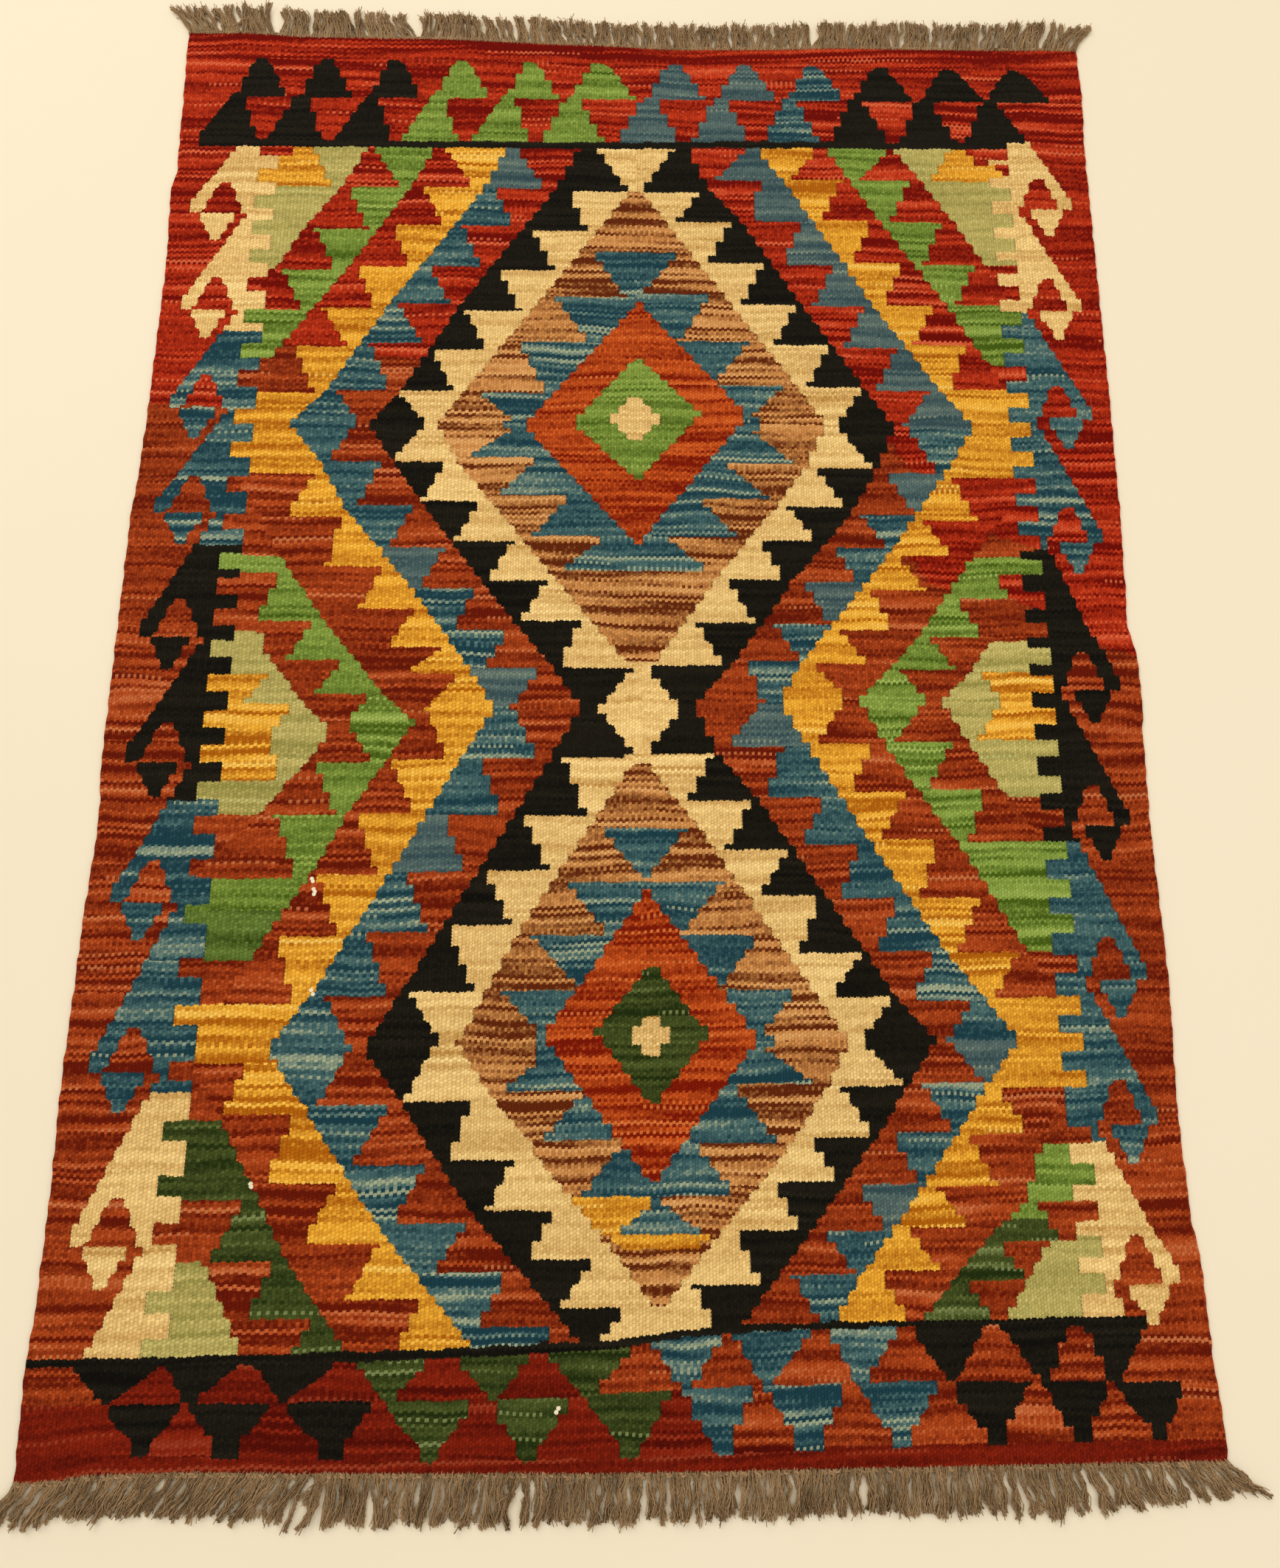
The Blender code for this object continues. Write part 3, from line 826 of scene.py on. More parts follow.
    colour = made.mix(tone.clamped(), dark, light)
    colour = made.mix(streak * 0.85, colour, pale)

    # Painted shade: the hollows between warps and between beads are painted darker than the ribs, which get
    # painted light, and a slit between two colours is painted darker still; some random mottle of the wool is
    # mixed in.
    rib = 1 - ((in_warp - 0.5).size() * 2.0) ** 3.0
    bulge = 1 - ((in_bead - 0.5).size() * 2.0) ** 3.0
    relief = rib * 0.5 + bulge * 0.5
    # painted shade in the hollows and painted light on the ribs, times a random mottle
    painted_shade_and_mottle = HOLLOW_PAINTED_SHADE + relief * RIB_PAINTED_LIGHT + (shade - 0.5) * 0.2 + (own - 0.5) * 0.1
    # painted shade in the slits between two colours
    painted_shade_and_mottle = painted_shade_and_mottle * (1 - slit * 0.55)
    painted_shade_grey = made.wire("ShaderNodeCombineColor", sockets={"Red": painted_shade_and_mottle, "Green": painted_shade_and_mottle, "Blue": painted_shade_and_mottle})
    colour = made.mix(1.0, colour, painted_shade_grey, "MULTIPLY")

    # A few ends of pale yarn that stand out of the weave.
    fibres = made.noise(place, 1500.0, 2.0, 0.7)
    distances = []
    for x, y in PALE_ENDS:
        spot = (*on_floor(x, y, shift), CLOTH_THICKNESS / 1000)
        distances.append(made.wire("ShaderNodeVectorMath", {"operation": "DISTANCE"}, {0: place, 1: spot}, 1))
    nearest = functools.reduce(Wire.least, distances)
    loose_end = nearest + (fibres - 0.5) * 0.0016 < PALE_END_RADIUS
    colour = made.mix(loose_end, colour, linear(PALE_END_COLOUR))

    height = relief + (fibres - 0.5) * 0.35 - slit * 1.2
    made.dress(shader, colour, CLOTH_FINISH, {"Strength": 0.7, "Distance": 0.0005, "Height": height})
    return material


# ---------------------------------------------------------------- the cloth's mesh
def eased(rows, along, column):
    """A column of a table at this place, eased from row to row."""
    for before, after in zip(rows, rows[1:]):
        if along <= after.along:
            share = max(0.0, along - before.along) / (after.along - before.along)
            share = share * share * (3 - 2 * share)
            low, high = getattr(before, column), getattr(after, column)
            return low + (high - low) * share
    return getattr(rows[-1], column)


def falloff(distance):
    return max(0.0, 1 - distance / EDGE_REACH)


def chart_shift():
    """From the chart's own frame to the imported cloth, which was stood on its origin."""
    low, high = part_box("kilim_cloth")
    return Vector(((low[0] + high[0]) / 2, (low[1] + high[1]) / 2)) - CHART_MIDDLE / 1000


def on_floor(x, y, shift):
    """Where a point of the chart lies, in metres, with the uneven edges drawn in."""
    across = x - CLOTH_WIDTH / 2
    across += eased(LEFT_SIDE, y, "offset") * falloff(x)
    across += eased(RIGHT_SIDE, y, "offset") * falloff(CLOTH_WIDTH - x)
    along = CLOTH_LENGTH / 2 - y
    along += eased(FAR_END, x, "offset") * falloff(y)
    along += eased(NEAR_END, x, "offset") * falloff(CLOTH_LENGTH - y)
    return Vector((across / 1000 + shift.x, along / 1000 + shift.y))


def step_edges():
    """Where each step of the pattern begins, from the left side to the right."""
    edges = [0.0]
    while edges[-1] < CLOTH_WIDTH:
        step = along_line(STEP_WIDTHS, edges[-1])
        edges.append(edges[-1] + along_line(STEP_WIDTHS, edges[-1] + step / 2))
    scale = CLOTH_WIDTH / edges[-1]
    return [edge * scale for edge in edges]


Run = namedtuple("Run", "start yarn figure")
SHORTEST_RUN = 3
SAME_TURN = 14  # how far apart two steps' turns may start and still be one edge
BAND_SLANT = 0.65  # more of an edge is slanted in the end bands
STEEPEST_BAND_SLANT = 5.0
STEEPEST_FIELD_SLANT = 4.0
FIELD_TOP = 107
FIELD_BOTTOM = 1126
BOBBIN_STEP = 0.37  # from one figure's bobbin to the next one's, which start over at the last
LAST_BOBBIN = 17


def runs_down(x):
    """The colours down one step of the pattern, from the far end to the near end."""
    runs = []
    for y in range(round(CLOTH_LENGTH)):
        drawn_in = eased(FAR_END, x, "offset") * falloff(y)
        drawn_in += eased(NEAR_END, x, "offset") * falloff(CLOTH_LENGTH - y)
        yarn, figure = chart(x, y + 0.5 - drawn_in)
        if runs and y - runs[-1].start < SHORTEST_RUN:
            runs[-1] = Run(runs[-1].start, yarn, figure)
        elif not runs or runs[-1][1:] != (yarn, figure):
            runs.append(Run(float(y), yarn, figure))
    return runs


def slant_of(left, run, right, number, runs):
    """How far a turn drops across its step, so that it leads on to the same turn in the steps beside it."""
    if number == 0:
        return 0.0
    above = runs[number - 1].yarn
    found = []
    for beside in (left, right):
        starts = [
            after.start for before, after in zip(beside, beside[1:])
            if (before.yarn, after.yarn) == (above, run.yarn) and abs(after.start - run.start) < SAME_TURN
        ]
        found.append(min(starts, key=lambda start: abs(start - run.start)) if starts else None)
    before, after = found
    if before is None or after is None or (after - run.start) * (run.start - before) <= 0:
        return 0.0
    in_field = FIELD_TOP < run.start < FIELD_BOTTOM
    drop = (after - before) * 0.5 * (SLANT if in_field else BAND_SLANT)
    steepest = STEEPEST_FIELD_SLANT if in_field else STEEPEST_BAND_SLANT
    return max(-steepest, min(steepest, drop))


def selvedge_wobble(y, i):
    """How far the outermost warps stand in and out, where the weft turns round them."""
    return 0.3 * math.sin(y / 2.3 + i) + 0.25 * math.sin(y / 5.7) + 0.2 * math.sin(y / 3.7)


def cloth_points(edges, downs, stray, shift):
    """The corners of the upper side and then of the underside, which has the same outline."""
    wide, tall = len(edges), len(downs)
    points = []
    for level in ("top", "bottom"):
        for j, y in enumerate(downs):
            for i, x in enumerate(edges):
                uneven = stray.uniform(-EDGE_UNEVEN, EDGE_UNEVEN)
                if not (1 < i < wide - 2 and 1 < j < tall - 2):
                    uneven = selvedge_wobble(y, i) if 0 < j < tall - 1 else 0.0
                point = on_floor(x + uneven, y, shift)
                if level == "bottom":
                    point = Vector(points[j * wide + i][:2])
                swell = 0.5 + 0.25 * math.sin(x / 61 + y / 143) + 0.25 * math.sin(y / 37 - x / 190)
                height = CLOTH_THICKNESS - RIPPLE * swell if level == "top" else 0.0
                if i in (0, wide - 1) or j in (0, tall - 1):
                    height = RIM_TOP if level == "top" else RIM_BOTTOM
                points.append((point.x, point.y, height / 1000))
    return points


def cloth_faces(wide, tall):
    """The faces of the upper side, the underside and the rim, and which cell of the weave each belongs to."""
    layer = wide * tall
    faces, cells = [], []
    for j in range(tall - 1):
        for i in range(wide - 1):
            corner = j * wide + i
            faces.append((corner, corner + wide, corner + wide + 1, corner + 1))
            cells.append((i, j))
    faces += [tuple(layer + vertex for vertex in reversed(face)) for face in faces]
    cells += cells
    for j in range(tall - 1):
        left, right = j * wide, j * wide + wide - 1
        faces.append((left, left + layer, left + wide + layer, left + wide))
        faces.append((right, right + wide, right + wide + layer, right + layer))
        cells += [(0, j), (wide - 2, j)]
    for i in range(wide - 1):
        far, near = i, (tall - 1) * wide + i
        faces.append((far, far + 1, far + 1 + layer, far + layer))
        faces.append((near, near + layer, near + 1 + layer, near + 1))
        cells += [(i, 0), (i, tall - 2)]
    return faces, cells


def weave_cells(edges, downs, stray):
    """What each cell of the weave is told: its nearest turn of colour, and those of the steps beside it."""
    columns = []
    for left, right in zip(edges, edges[1:]):
        runs = runs_down((left + right) / 2)
        uneven = [Run(run.start + stray.uniform(-TURN_UNEVEN, TURN_UNEVEN), *run[1:]) for run in runs[1:]]
        columns.append([runs[0], *uneven])
    slants = [
        [slant_of(columns[max(0, i - 1)], run, columns[min(len(columns) - 1, i + 1)], n, runs)
         for n, run in enumerate(runs)]
        for i, runs in enumerate(columns)
    ]

    def turn_near(i, y):
        """The run that begins nearest to this height in a column, but not the first."""
        runs = columns[i]
        if len(runs) == 1:
            return 0
        return min(range(1, len(runs)), key=lambda n: abs(runs[n].start - y))

    def colours_at(i, y, edge):
        """(yarn above, yarn below, height) of the turn nearest to y, at a column's edge from -0.5 to 0.5."""
        if not 0 <= i < len(columns):
            return None
        n = turn_near(i, y)
        run = columns[i][n]
        return YARN[columns[i][max(0, n - 1)].yarn], YARN[run.yarn], run.start + slants[i][n] * edge

    told = {}
    for i, runs in enumerate(columns):
        for j, (top, bottom) in enumerate(zip(downs, downs[1:])):
            middle = (top + bottom) / 2
            n = turn_near(i, middle)
            above, below = runs[max(0, n - 1)], runs[n]
            own = (YARN[above.yarn], YARN[below.yarn], below.start)
            told[i, j] = (
                *own, slants[i][n], *[run.figure * BOBBIN_STEP % LAST_BOBBIN for run in (above, below)],
                colours_at(i - 1, middle, 0.5) or own, colours_at(i + 1, middle, -0.5) or own,
            )
    return told


def warp_numbers(edges):
    """How many warps lie left of each edge: two or three for each step of the pattern."""
    numbers = [0.0]
    for left, right in zip(edges, edges[1:]):
        step = right - left
        numbers.append(numbers[-1] + (0.4 if step < 2 * SELVEDGE else round(step / WARP_PITCH)))
    return numbers


def make_cloth(material, shift):
    """The woven cloth: a face for each step in each row, both sides alike, closed at the rim."""
    stray = random.Random(11)
    rows = round(CLOTH_LENGTH / ROW_HEIGHT)
    edges = [0.0, SELVEDGE, *step_edges()[1:-1], CLOTH_WIDTH - SELVEDGE, CLOTH_WIDTH]
    downs = [row * ROW_HEIGHT for row in range(1, rows)]
    downs = [0.0, SELVEDGE, *downs, CLOTH_LENGTH - SELVEDGE, CLOTH_LENGTH]
    wide, tall = len(edges), len(downs)
    points = cloth_points(edges, downs, stray, shift)
    faces, cells = cloth_faces(wide, tall)
    told = weave_cells(edges, downs, stray)
    mesh = bpy.data.meshes.new("kilim_cloth_woven")
    mesh.from_pydata(points, [], faces)
    mesh.materials.append(material)

    names = ("upper", "lower", "turn", "slant", "upper_bobbin", "lower_bobbin", "left_side", "right_side")
    for number, name in enumerate(names):
        values = [told[cell][number] for cell in cells]
        if name.endswith("_side"):
            flat = [value for ends in values for value in ends]
            mesh.attributes.new(name, "FLOAT_VECTOR", "FACE").data.foreach_set("vector", flat)
        else:
            mesh.attributes.new(name, "FLOAT", "FACE").data.foreach_set("value", values)

    # The weave's own coordinates, in warps and millimetres, and the unwrapped sides for baking, side by side.
    numbers = warp_numbers(edges)
    one_side = (wide - 1) * (tall - 1)
    weave_values, baked_values, side_values = [], [], []
    for number, face in enumerate(faces):
        half = 0.5 if one_side <= number < 2 * one_side else 0.0
        for vertex in face:
            j, i = divmod(vertex % (wide * tall), wide)
            weave_values += [numbers[i], downs[j]]
            baked_values.append(half + 0.005 + 0.49 * edges[i] / CLOTH_WIDTH)
            baked_values.append(0.995 - 0.99 * downs[j] / CLOTH_LENGTH)
            side_values.append(float(i > cells[number][0]))
    for name, values in (("Weave", weave_values), ("OFBake", baked_values)):
        mesh.uv_layers.new(name=name).data.foreach_set("uv", values)
    mesh.attributes.new("side", "FLOAT", "CORNER").data.foreach_set("value", side_values)
    mesh.uv_layers.active = mesh.uv_layers["Weave"]
    mesh.update()
    return new_object("kilim_cloth_woven", mesh)


# ---------------------------------------------------------------- the fringe
STRANDS_PER_END = 330
STRAND_POINTS = 13
PLY_RADIUS = 0.00078
PLY_PITCH = 0.0075
PLY_SIDES = 4
FIBRES = 6  # loose fibres on each strand
FIBRE_RADIUS = 0.00036
ROOT_DEPTH = 0.0012  # how far a strand starts inside the cloth
STRAND_HEIGHT = 0.0019
STRAND_LIFT = 0.0013  # the most that a strand arches off the floor, and bows to a side
STRAND_BOW = 0.0018
EDGE_TWIST = 7.4  # length of a piece of the twined line along the far edge
EDGE_OVERLAP = 1.2
KNOT_PITCH = 8.8  # from knot to knot along the near edge
FRINGE_DARK = (80, 57, 32)
FRINGE_LIGHT = (182, 149, 108)
FRINGE_FINISH = {"Roughness": 0.95, "Specular IOR Level": 0.2}


def fringe_wool():
    """Undyed wool: each ply and fibre has its own tone, and some lie in a paler patch."""
    material, made, shader = new_material("fringe_wool")
    patch = made.noise(made.place(), 55.0, 3.0, 0.6)
    fibre = made.noise(made.place(), 900.0, 3.0, 0.7)
    tone, pale = made.attribute("tone"), made.attribute("pale")
    mixed = (patch - 0.5) * 1.3 + (fibre - 0.5) * 0.9 + tone * 0.62 + 0.12 + pale * 0.5
    colour = made.mix(mixed.clamped(), linear(FRINGE_DARK), linear(FRINGE_LIGHT))
    made.dress(shader, colour, FRINGE_FINISH, {"Strength": 0.6, "Distance": 0.0003, "Height": fibre})
    return material


def tip_shift(along, partings):
    """How far a tip is pushed sideways, so that the fringe parts into clumps."""
    bounds = [Parting(0.0, 0.0), *partings, Parting(CLOTH_WIDTH, 0.0)]
    for left, right in zip(bounds, bounds[1:]):
        if along <= right.along:
            share = (along - left.along) / (right.along - left.along)
            return left.width / 2 * (1 - share) - right.width / 2 * share
    return 0.0


class Lines:
    """Open lines, each a row of points with its thickness, how pale it is and whether it has loose fibres."""

    def __init__(self):
        self.points, self.edges, self.thick, self.pale, self.loose = [], [], [], [], []

    def add(self, points, thick, pale, loose=1.0):
        first = len(self.points)
        self.points += points
        self.edges += [(first + n, first + n + 1) for n in range(len(points) - 1)]
        self.thick += thick
        self.pale += [pale] * len(points)
        self.loose += [loose] * len(points)

    def made(self, name):
        mesh = bpy.data.meshes.new(name)
        mesh.from_pydata(self.points, self.edges, [])
        for title, values in (("thick", self.thick), ("pale", self.pale), ("loose", self.loose)):
            mesh.attributes.new(title, "FLOAT", "POINT").data.foreach_set("value", values)
        return new_object(name, mesh)


def warp_end(lines, root, outward, sideways, apart, reach, locks, stray):
    """A strand from inside the cloth's edge to its tip on the floor."""
    lift = stray.uniform(0.0, STRAND_LIFT)
    bow = stray.uniform(-STRAND_BOW, STRAND_BOW)
    curl = stray.uniform(0.2, 1.0) * locks.curl
    turns = stray.uniform(5.0, 12.0)
    start = stray.uniform(0.0, 6.0)
    points, thick = [], []
    for step in range(STRAND_POINTS):
        share = step / (STRAND_POINTS - 1)
        wave = bow * math.sin(math.pi * share) + curl * math.sin(turns * share + start) * min(1.0, share * 3)
        x = root.x + sideways * share ** 1.25 + apart * math.sin(2.2 * share) + wave
        y = root.y - outward * ROOT_DEPTH + outward * (reach + ROOT_DEPTH) * share
        z = STRAND_HEIGHT - 0.0005 * share + lift * math.sin(math.pi * share)
        points.append((x, y, z))
        thick.append(1.0 - 0.35 * max(0.0, share - 0.7) / 0.3)
    lines.add(points, thick, stray.uniform(0.0, 0.2) + locks.pale)


def fringe_guides(end, shift):
    """The lines that the plies follow: the warp ends, and what holds them along the cloth's edge."""
    stray = random.Random(end.seed)
    locks = end.locks
    lines = Lines()
    count = int(CLOTH_WIDTH // locks.pitch) + 1
    middles = [(n + 0.5 + stray.uniform(-0.15, 0.15)) * locks.pitch for n in range(count)]
    lengths = [stray.uniform(0.84, 1.04) for _ in range(count)]
    leans = [stray.uniform(-locks.lean, locks.lean) for _ in range(count)]
    for number in range(STRANDS_PER_END):
        along = (number + 0.5 + stray.uniform(-0.2, 0.2)) * CLOTH_WIDTH / STRANDS_PER_END
        lock = int(along // locks.pitch)
        offset = along - middles[lock]
        root_along = min(CLOTH_WIDTH - 1.0, max(1.0, middles[lock] + offset * locks.root))
        root = on_floor(root_along, end.down, shift)
        length = eased(end.lays, along, "length") * lengths[lock] * stray.uniform(0.94, 1.04) / 1000
        lean = math.radians(eased(end.lays, along, "lean") + leans[lock] + stray.uniform(-7.0, 7.0))
        apart = tip_shift(along, end.partings) * locks.parting / 1000
        sideways = length * math.sin(lean) + offset * (locks.tip - locks.root) / 1000
        warp_end(lines, root, end.outward, sideways, apart, length * math.cos(lean), locks, stray)
    for lone in end.lone_ends:
        lean, length = math.radians(lone.lean), lone.length / 1000
        root = on_floor(lone.along, end.down, shift)
        reach = length * math.cos(lean)
        warp_end(lines, root, end.outward, length * math.sin(lean), 0.0, reach, locks, stray)

    def edge_piece(along, half, rise, turn, thick, pale):
        middle = on_floor(min(CLOTH_WIDTH - half, max(half, along)), end.down, shift)
        points = []
        for step in range(7):
            share = step / 3 - 1
            arch = 1 - share * share
            x = middle.x + half / 1000 * share
            y = middle.y + end.outward * (0.0003 + 0.0011 * arch) - turn * half / 1000 * share
            points.append((x, y, 0.0014 + rise * arch))
        lines.add(points, [thick] * 7, pale, 0.0)

    if end.node == "fringe_far":
        for number in range(int(CLOTH_WIDTH / EDGE_TWIST * EDGE_OVERLAP)):
            along = (number + 0.5) * EDGE_TWIST / EDGE_OVERLAP
            edge_piece(along, EDGE_TWIST / 2, 0.0008, -0.1, 0.85, 0.5)
    else:
        for number in range(int(CLOTH_WIDTH / KNOT_PITCH)):
            along = (number + 0.5 + stray.uniform(-0.12, 0.12)) * KNOT_PITCH
            edge_piece(along, stray.uniform(1.8, 2.8), 0.0013, stray.uniform(0.3, 1.1), 0.95, 0.7)
            beside = along + KNOT_PITCH / 2
            edge_piece(beside, stray.uniform(1.5, 2.2), 0.0010, stray.uniform(0.5, 1.4), 0.8, 0.3)
    return lines.made(end.node + "_guides")


def ply_tree(material):
    """Geometry Nodes: twists two plies round each line, lets them part at the tip, and adds loose fibres."""
    group = bpy.data.node_groups.new("two_ply_fringe", "GeometryNodeTree")
    face = group.interface
    face.new_socket("Geometry", in_out="INPUT", socket_type="NodeSocketGeometry")
    numbers = (
        ("Ply radius", PLY_RADIUS), ("Ply pitch", PLY_PITCH), ("Fray", 1.9), ("Fibre radius", FIBRE_RADIUS),
        ("Fibre spread", 0.0024),
    )
    for name, default in numbers:
        socket = face.new_socket(name, in_out="INPUT", socket_type="NodeSocketFloat")
        socket.default_value = default
    for name, default in (("Fibres", FIBRES), ("Seed", 4)):
        socket = face.new_socket(name, in_out="INPUT", socket_type="NodeSocketInt")
        socket.default_value = default
    face.new_socket("Geometry", in_out="OUTPUT", socket_type="NodeSocketGeometry")
    made = Tree(group)
    given = made.node("NodeGroupInput")
    result = made.node("NodeGroupOutput")

    def named(name):
        return Wire(group, given.outputs[name])

    def by_curve(kind, low, high, seed_shift=0):
        """A random value of its own for each curve."""
        curve_of = made.node("GeometryNodeCurveOfPoint")
        sockets = {"ID": curve_of.outputs["Curve Index"], "Seed": named("Seed") + float(seed_shift)}
        node = made.node("FunctionNodeRandomValue", {"data_type": kind}, sockets)
        first = 0 if kind == "FLOAT_VECTOR" else 2
        put(group, node.inputs[first], low)
        put(group, node.inputs[first + 1], high)
        return Wire(group, node.outputs[0 if kind == "FLOAT_VECTOR" else 1])

    def scaled(vector, factor):
        node = made.node("ShaderNodeVectorMath", {"operation": "SCALE"}, {0: vector})
        put(group, node.inputs["Scale"], factor)
        return Wire(group, node.outputs[0])

    def summed(first, second):
        return made.wire("ShaderNodeVectorMath", {"operation": "ADD"}, {0: first, 1: second})

    curves = made.node("GeometryNodeMeshToCurve", sockets={"Mesh": given.outputs["Geometry"]})
    thick = made.node("GeometryNodeInputNamedAttribute", {"data_type": "FLOAT"}, {"Name": "thick"})
    sockets = {"Curve": curves.outputs[0], "Radius": thick.outputs["Attribute"]}
    lines = made.node("GeometryNodeSetCurveRadius", sockets=sockets)
    spline = made.node("GeometryNodeSplineParameter")
    length, share = Wire(group, spline.outputs["Length"]), Wire(group, spline.outputs["Factor"])
    tangent = made.node("GeometryNodeInputTangent").outputs[0]
    joined = made.node("GeometryNodeJoinGeometry")

    def tubes(curve, offset, radius, sides, tone):
        """Moves the curves' points, none into the floor, keeps a tone, and gives them their round section."""
        moved = made.node("GeometryNodeSetPosition", sockets={"Geometry": curve, "Offset": offset})
        x, y, z = made.parts(made.wire("GeometryNodeInputPosition"))
        sockets = {"Geometry": moved.outputs[0], "Position": made.vector(x, y, z.most(radius))}
        placed = made.node("GeometryNodeSetPosition", sockets=sockets)
        toned = made.node(
            "GeometryNodeStoreNamedAttribute", {"data_type": "FLOAT", "domain": "POINT"},
            {"Geometry": placed.outputs[0], "Name": "tone", "Value": tone},
        )
        profile = made.node("GeometryNodeCurvePrimitiveCircle", {"mode": "RADIUS"})
        put(group, profile.inputs["Resolution"], sides)
        put(group, profile.inputs["Radius"], radius)
        tube = made.node(
            "GeometryNodeCurveToMesh",
            sockets={"Curve": toned.outputs[0], "Profile Curve": profile.outputs[0], "Fill Caps": True},
        )
        put(group, joined.inputs[0], tube.outputs[0])

    # The two plies, half a turn apart round the line. A knot is short and needs fewer points.
    loose = made.wire("GeometryNodeInputNamedAttribute", {"data_type": "FLOAT"}, {"Name": "loose"})
    sockets = {"Curve": lines.outputs[0], "Count": loose * 9.0 + 7.0}
    strands = made.node("GeometryNodeResampleCurve", sockets=sockets)
    sideways = made.node(
        "ShaderNodeVectorMath", {"operation": "CROSS_PRODUCT"}, {0: tangent, 1: (0.0, 0.0, 1.0)}
    ).outputs[0]
    phase = by_curve("FLOAT", 0.0, 2 * math.pi)
    for ply in range(2):
        angle = length * (2 * math.pi) / named("Ply pitch") + phase + math.pi * ply
        opening = 0.85 + ((share - 0.7).most(0.0)) * named("Fray") * 1.6
        out = scaled(sideways, angle.math("COSINE", angle) * opening * named("Ply radius"))
        up = made.vector(0.0, 0.0, angle.sine() * named("Ply radius") * 0.75)
        tone = by_curve("FLOAT", 0.0, 1.0, 9)
        tubes(strands.outputs[0], summed(out, up), named("Ply radius"), PLY_SIDES, tone)

    # The fibres that stand off each strand, further towards its tip.
    copies = made.node(
        "GeometryNodeDuplicateElements", {"domain": "SPLINE"},
        {"Geometry": lines.outputs[0], "Amount": named("Fibres") * loose},
    )
    fibres = made.node("GeometryNodeResampleCurve", sockets={"Curve": copies.outputs[0], "Count": 8})
    away = by_curve("FLOAT_VECTOR", (-1.0, -1.0, -0.3), (1.0, 1.0, 1.0), 1)
    sockets = {"Vector": made.wire("GeometryNodeInputPosition"), "W": by_curve("FLOAT", 0.0, 50.0, 2)}
    sockets.update({"Scale": 230.0, "Detail": 1.0})
    wave = made.wire("ShaderNodeTexNoise", {"noise_dimensions": "4D"}, sockets, "Color")
    waved = made.wire("ShaderNodeVectorMath", {"operation": "SUBTRACT"}, {0: wave, 1: (0.5, 0.5, 0.4)})
    stand = scaled(away, named("Ply radius") * 1.1 + named("Fibre spread") * share * share * 0.8)
    curl = scaled(waved, named("Fibre spread") * (share * 1.2 + 1.4))
    longer = scaled(tangent, share * share * share * by_curve("FLOAT", -0.005, 0.0012, 3))
    tubes(
        fibres.outputs[0], summed(summed(stand, curl), longer), named("Fibre radius"), 3,
        by_curve("FLOAT", 0.2, 1.3, 4),
    )

    real = made.node("GeometryNodeRealizeInstances", sockets={"Geometry": joined.outputs[0]})
    sockets = {"Geometry": real.outputs[0], "Material": material}
    dressed = made.node("GeometryNodeSetMaterial", sockets=sockets)
    put(group, result.inputs[0], dressed.outputs[0])
    return group


def make_fringe(end, material, tree, shift):
    name = end.node + "_strands"
    guides = fringe_guides(end, shift)
    modifier = guides.modifiers.new("plies", "NODES")
    modifier.node_group = tree
    sockets = {item.name: item.identifier for item in tree.interface.items_tree if item.in_out == "INPUT"}
    modifier[sockets["Seed"]] = end.seed
    graph = bpy.context.evaluated_depsgraph_get()
    mesh = bpy.data.meshes.new_from_object(guides.evaluated_get(graph), depsgraph=graph)
    mesh.name = name
    guides.modifiers.remove(modifier)
    bpy.data.objects.remove(guides)
    mesh.materials.clear()
    mesh.materials.append(material)
    for polygon in mesh.polygons:
        polygon.use_smooth = True
    return new_object(name, mesh)


# ---------------------------------------------------------------- the room
FLOOR_TONES = ((250, 236, 206), (252, 240, 214))
FLOOR_HALF = 4.0
ROOM_COLOUR = (1.0, 0.97, 0.92, 1.0)
ROOM_STRENGTH = 0.55
Lamp = namedtuple("Lamp", "name size power colour place")
LAMPS = table(
    Lamp, ("key", 2.4, 44.0, (1.0, 0.95, 0.87), (-1.3, 1.5, 2.6)),
    ("fill", 3.0, 22.0, (1.0, 0.96, 0.9), (1.6, -0.8, 2.4)),
)
# The camera, found from the cloth's four corners: lengths in the photograph's pixels, its place from the
# chart's middle in metres, and its turn in degrees.
PHOTO_WIDTH = 1736
FOCAL_LENGTH = 1820.2
SIDE_SHIFT = -79.0
SENSOR = 36.0
CAMERA_PLACE = (0.0161, -0.4028, 1.0064)
CAMERA_TURN = (16.087, -1.796, -0.5)


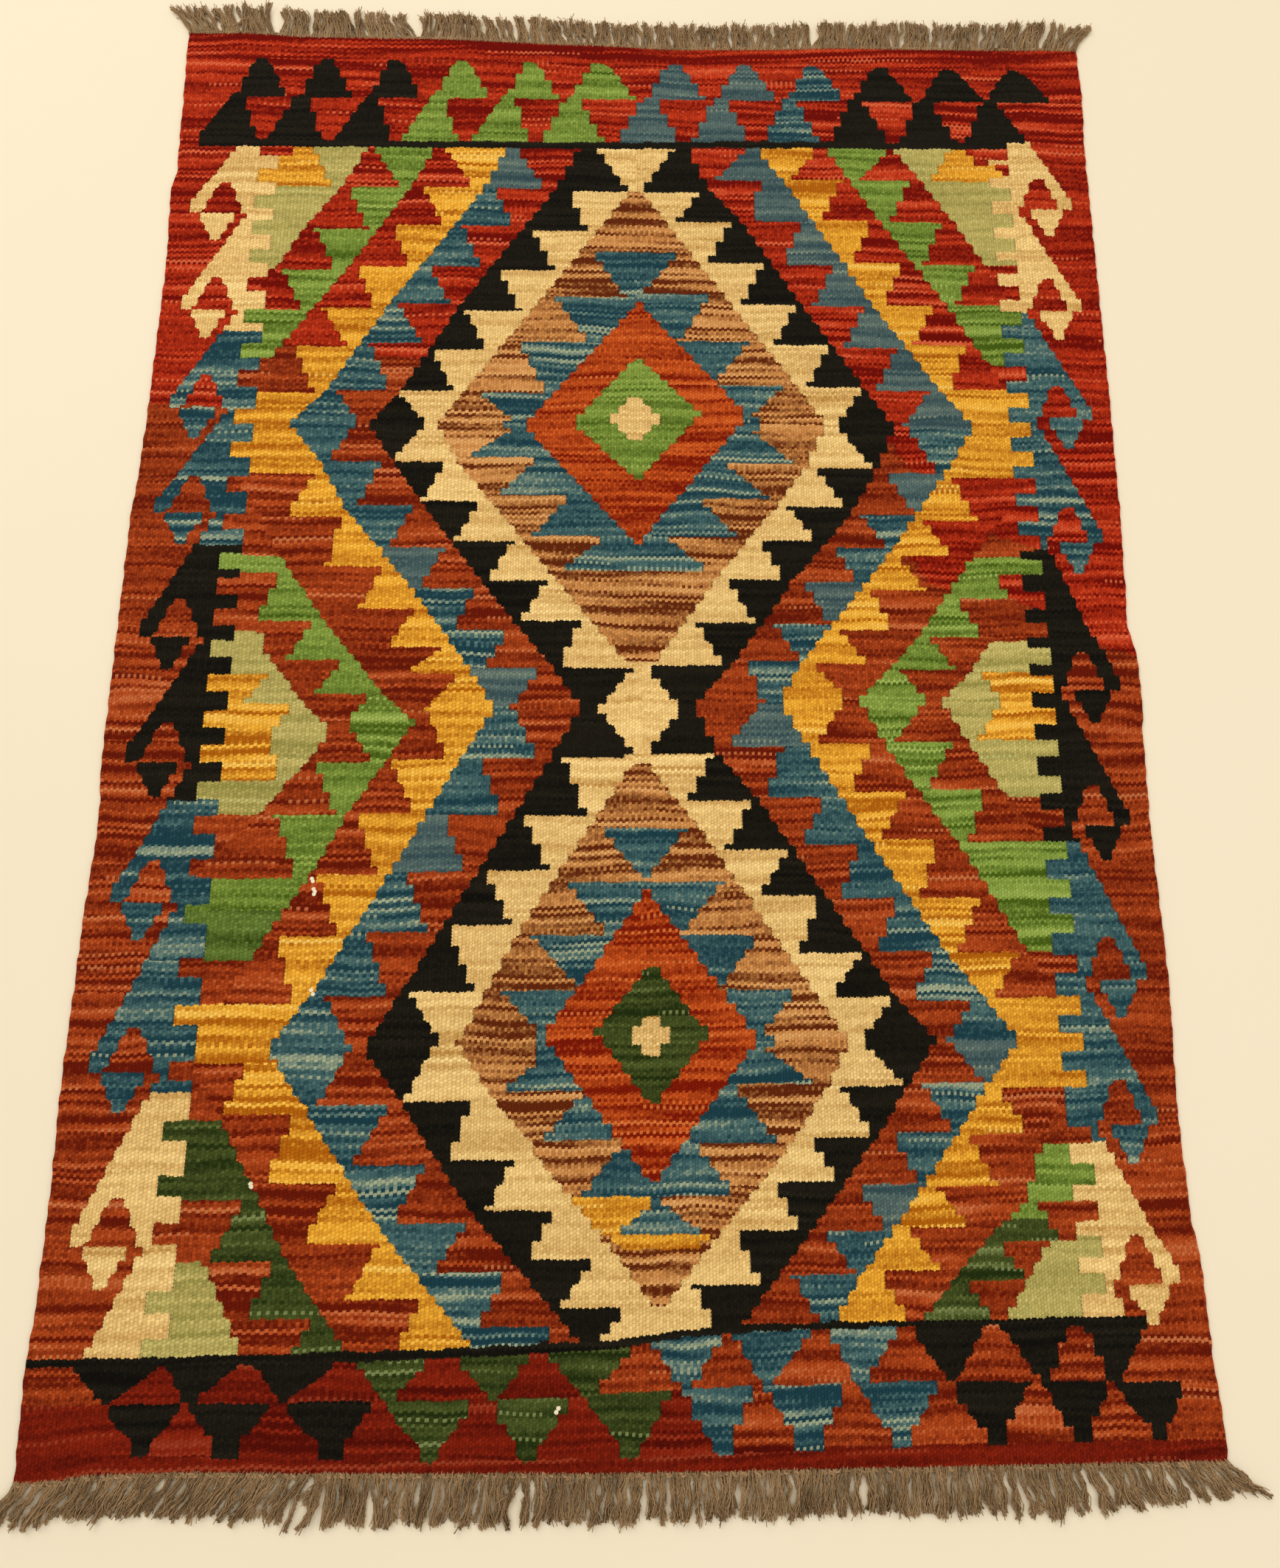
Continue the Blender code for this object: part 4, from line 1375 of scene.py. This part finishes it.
def make_floor():
    material, made, shader = new_material("pale_floor")
    cloud = made.noise(made.place(), 3.0, 3.0)
    made.dress(shader, made.mix(cloud, *[linear(tone) for tone in FLOOR_TONES]), {"Roughness": 0.8})
    mesh = bpy.data.meshes.new("floor")
    corners = [(-1, -1, 0), (1, -1, 0), (1, 1, 0), (-1, 1, 0)]
    mesh.from_pydata([Vector(corner) * FLOOR_HALF for corner in corners], [], [(0, 1, 2, 3)])
    mesh.materials.append(material)
    floor = new_object("floor", mesh)
    return floor


def make_lamp(row):
    """A square soft lamp, aimed at the rug's middle."""
    data = bpy.data.lights.new(row.name, "AREA")
    data.shape = "SQUARE"
    data.size = row.size
    data.energy = row.power
    data.color = row.colour
    lamp = new_object(row.name, data)
    lamp.location = row.place
    lamp.rotation_euler = (-Vector(row.place)).to_track_quat("-Z", "Y").to_euler()


def make_camera(shift):
    data = bpy.data.cameras.new("camera")
    data.sensor_fit = "HORIZONTAL"
    data.sensor_width = SENSOR
    data.lens = SENSOR * FOCAL_LENGTH / PHOTO_WIDTH
    data.shift_x = SIDE_SHIFT / PHOTO_WIDTH
    data.clip_start = 0.01
    camera = new_object("camera", data)
    camera.location = (CAMERA_PLACE[0] + shift.x, CAMERA_PLACE[1] + shift.y, CAMERA_PLACE[2])
    camera.rotation_euler = tuple(math.radians(angle) for angle in CAMERA_TURN)
    bpy.context.scene.camera = camera


def set_room():
    world = bpy.data.worlds.new("room")
    world.use_nodes = True
    background = world.node_tree.nodes["Background"]
    background.inputs["Color"].default_value = ROOM_COLOUR
    background.inputs["Strength"].default_value = ROOM_STRENGTH
    bpy.context.scene.world = world
    bpy.context.scene.view_settings.view_transform = "Standard"
    for row in LAMPS:
        make_lamp(row)


def main():
    shift = chart_shift()
    make_camera(shift)
    floor = make_floor()
    set_room()
    cloth = make_cloth(cloth_wool(shift), shift)
    wool = fringe_wool()
    tree = ply_tree(wool)
    fringes = [make_fringe(end, wool, tree, shift) for end in FRINGES]
    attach(cloth, "root")
    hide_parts("kilim_cloth")
    for fringe, end in zip(fringes, FRINGES):
        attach(fringe, "root")
        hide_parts(end.node)


main()
